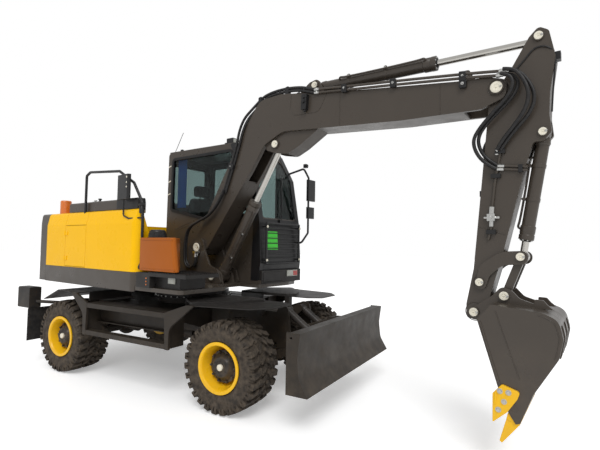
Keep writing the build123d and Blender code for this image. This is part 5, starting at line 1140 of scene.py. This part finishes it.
# -------------------- seat and curtain
SEAT_Y = 0.5565
CUSHIONS = [
    # name, outline in side view, half width
    ("seat_cushion", [(-0.44, 1.484, 0.03), (0.092, 1.484, 0.05), (0.092, 1.59, 0.045), (-0.44, 1.606, 0.03)],
     0.24),
    ("seat_back", [(-0.462, 1.6, 0.03), (-0.332, 1.6, 0.04), (-0.44, 2.176, 0.05), (-0.556, 2.176, 0.04)],
     0.232),
    ("seat_headrest",
     [(-0.56, 2.196, 0.03), (-0.47, 2.196, 0.03), (-0.48, 2.356, 0.036), (-0.57, 2.356, 0.036)],
     0.13),
]
CUSHION_RINGS = 17
WELT_RINGS = (4, 12)


def cushion_rings(rows, half):
    """Outlines across a cushion: full in the middle, drawn in at the sides and grooved at the welts."""
    outline = rounded(rows)
    middle = sum(outline, Vector((0, 0))) / len(outline)
    rings = []
    for n in range(CUSHION_RINGS):
        t = 2 * n / (CUSHION_RINGS - 1) - 1
        swell = 0.8 if abs(t) > 0.99 else 0.9 + 0.1 * (1 - abs(t) ** 3)
        y = SEAT_Y + half * abs(t) ** 0.9 * (1 if t > 0 else -1)
        line = inset(outline, 0.0135 if n in WELT_RINGS else 0.0015)
        rings.append([(middle.x + (p.x - middle.x) * swell, y, middle.y + (p.y - middle.y) * swell)
                      for p in line])
    return rings


def make_seat():
    """Foam cushion, backrest and headrest with welts, on a rigid frame with arm rests."""
    y = SEAT_Y
    for name, rows, half in CUSHIONS:
        obj = piece(name, Shape().skin(cushion_rings(rows, half)), "upper", ("seat_cloth", "seat"), 0.0)
    rest = [(-0.376, 1.165, 0.02), (0.116, 1.165, 0.02), (0.116, 1.716, 0.04), (-0.376, 1.7, 0.05)]
    rigid = fittings(
        "seat_frame", "upper", ("seat_cloth", "trim"), 0.006,
        boxes=[(-0.42, 0.03, y - 0.165, y + 0.165, 1.165, 1.478),
               (-0.355, -0.005, y - 0.325, y + 0.325, 1.284, 1.376)],
        prisms=[("xz", rest, y + side * 0.264, y + side * 0.328) for side in SIDES],
        rods=[((-0.515, y + across, 2.16), (-0.52, y + across, 2.215), 0.008) for across in (-0.045, 0.045)]
        + [((0.06, y + across, 1.7), (0.075, y + across, 1.7185), 0.012) for across in (-0.296, 0.296)])
    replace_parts(rigid, "seat")


def make_curtain():
    """Gathered curtain hung behind the cab's side window."""
    columns, rows, folds, drop = 96, 12, 7, 0.66
    places = [(-0.665 + 0.185 * t, 0.236 + 0.012 * sin(t * 2 * pi * folds))
              for t in (c / columns for c in range(columns + 1))]
    wide = columns + 1
    mesh = bpy.data.meshes.new("curtain")
    mesh.from_pydata(
        [(x, y, 2.69 - drop * r / rows) for r in range(rows + 1) for x, y in places], [],
        [(a, a + 1, a + wide + 1, a + wide)
         for r in range(rows) for a in range(r * wide, r * wide + columns)])
    mesh.polygons.foreach_set("use_smooth", [True] * len(mesh.polygons))
    obj = shown(bpy.data.objects.new("curtain", mesh), "upper", ("seat_cloth", "curtain"))
    wire = fittings("curtain_wire", "upper", STEEL, 0.0,
                    rods=[((-0.7, 0.236, 2.696), (-0.44, 0.236, 2.696), 0.003, 8)],
                    boxes=[(x, x + 0.006, 0.21, 0.242, 2.686, 2.706) for x in (-0.706, -0.44)])


make_cab_trim()
make_seat()
make_curtain()


# -------------------- chassis
SLEW_BOLTS = 0.446     # radius of their circle
SLEW_FLANGE = 0.924    # height of its top
FOOT_RUN = [
    (0.655, 2.165), (0.568, 2.0), (0.44, 1.87), (0.25, 1.8), (0.106, 1.731), (0.058, 1.6), (0.05, 1.46),
    (0.062, 1.34), (0.105, 1.28), (0.161, 1.268), (0.225, 1.29), (0.253, 1.34), (0.254, 1.412),
]
FOOT_SHIFTS = (0.0, 0.034)


def make_chassis_details():
    """Slewing-ring bolts, boom-foot hoses and lamp lenses."""
    fittings("slew_bolts", "chassis", STEEL, 0.0, bolts=[
        ((SLEW_BOLTS * c, SLEW_BOLTS * s, SLEW_FLANGE), UP, 0.008, 0.009) for c, s in circle(36)])
    routes = [[(x + d * 0.3, -min(0.182, 0.142 + 0.014 * n) - d, z - d * 0.4)
               for n, (x, z) in enumerate(FOOT_RUN)] for d in FOOT_SHIFTS]
    bent_hoses("foot_hoses", routes, 0.0145, ("boom", "upper"))
    fittings("foot_unions", "upper", STEEL, 0.001, boxes=[(0.236, 0.282, -0.236, -0.16, 1.425, 1.45)],
             rods=[((0.254 + d * 0.3, -0.182 - d, 1.395 - d * 0.4),
                    (0.254 + d * 0.3, -0.182 - d, 1.44 - d * 0.4), 0.018, 6) for d in FOOT_SHIFTS])
    for name, material, low, high in (("reversing_lenses", "lens", 0.88, 0.935),
                                      ("tail_lenses", "red_lens", 0.725, 0.865)):
        fittings(name, "chassis", ("lamp_plastic", material), 0.003,
                 boxes=[(-2.0735, -2.069, side * 0.86, side * 0.965, low, high) for side in SIDES])


make_chassis_details()


def as_lists(value):
    """Vectors, tuples and dictionaries as plain lists and numbers."""
    if isinstance(value, dict):
        return {key: as_lists(inner) for key, inner in value.items()}
    if hasattr(value, "__len__") and not isinstance(value, str):
        return [as_lists(inner) for inner in value]
    return value


{"before": as_lists(size_before), "after": as_lists(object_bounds())}
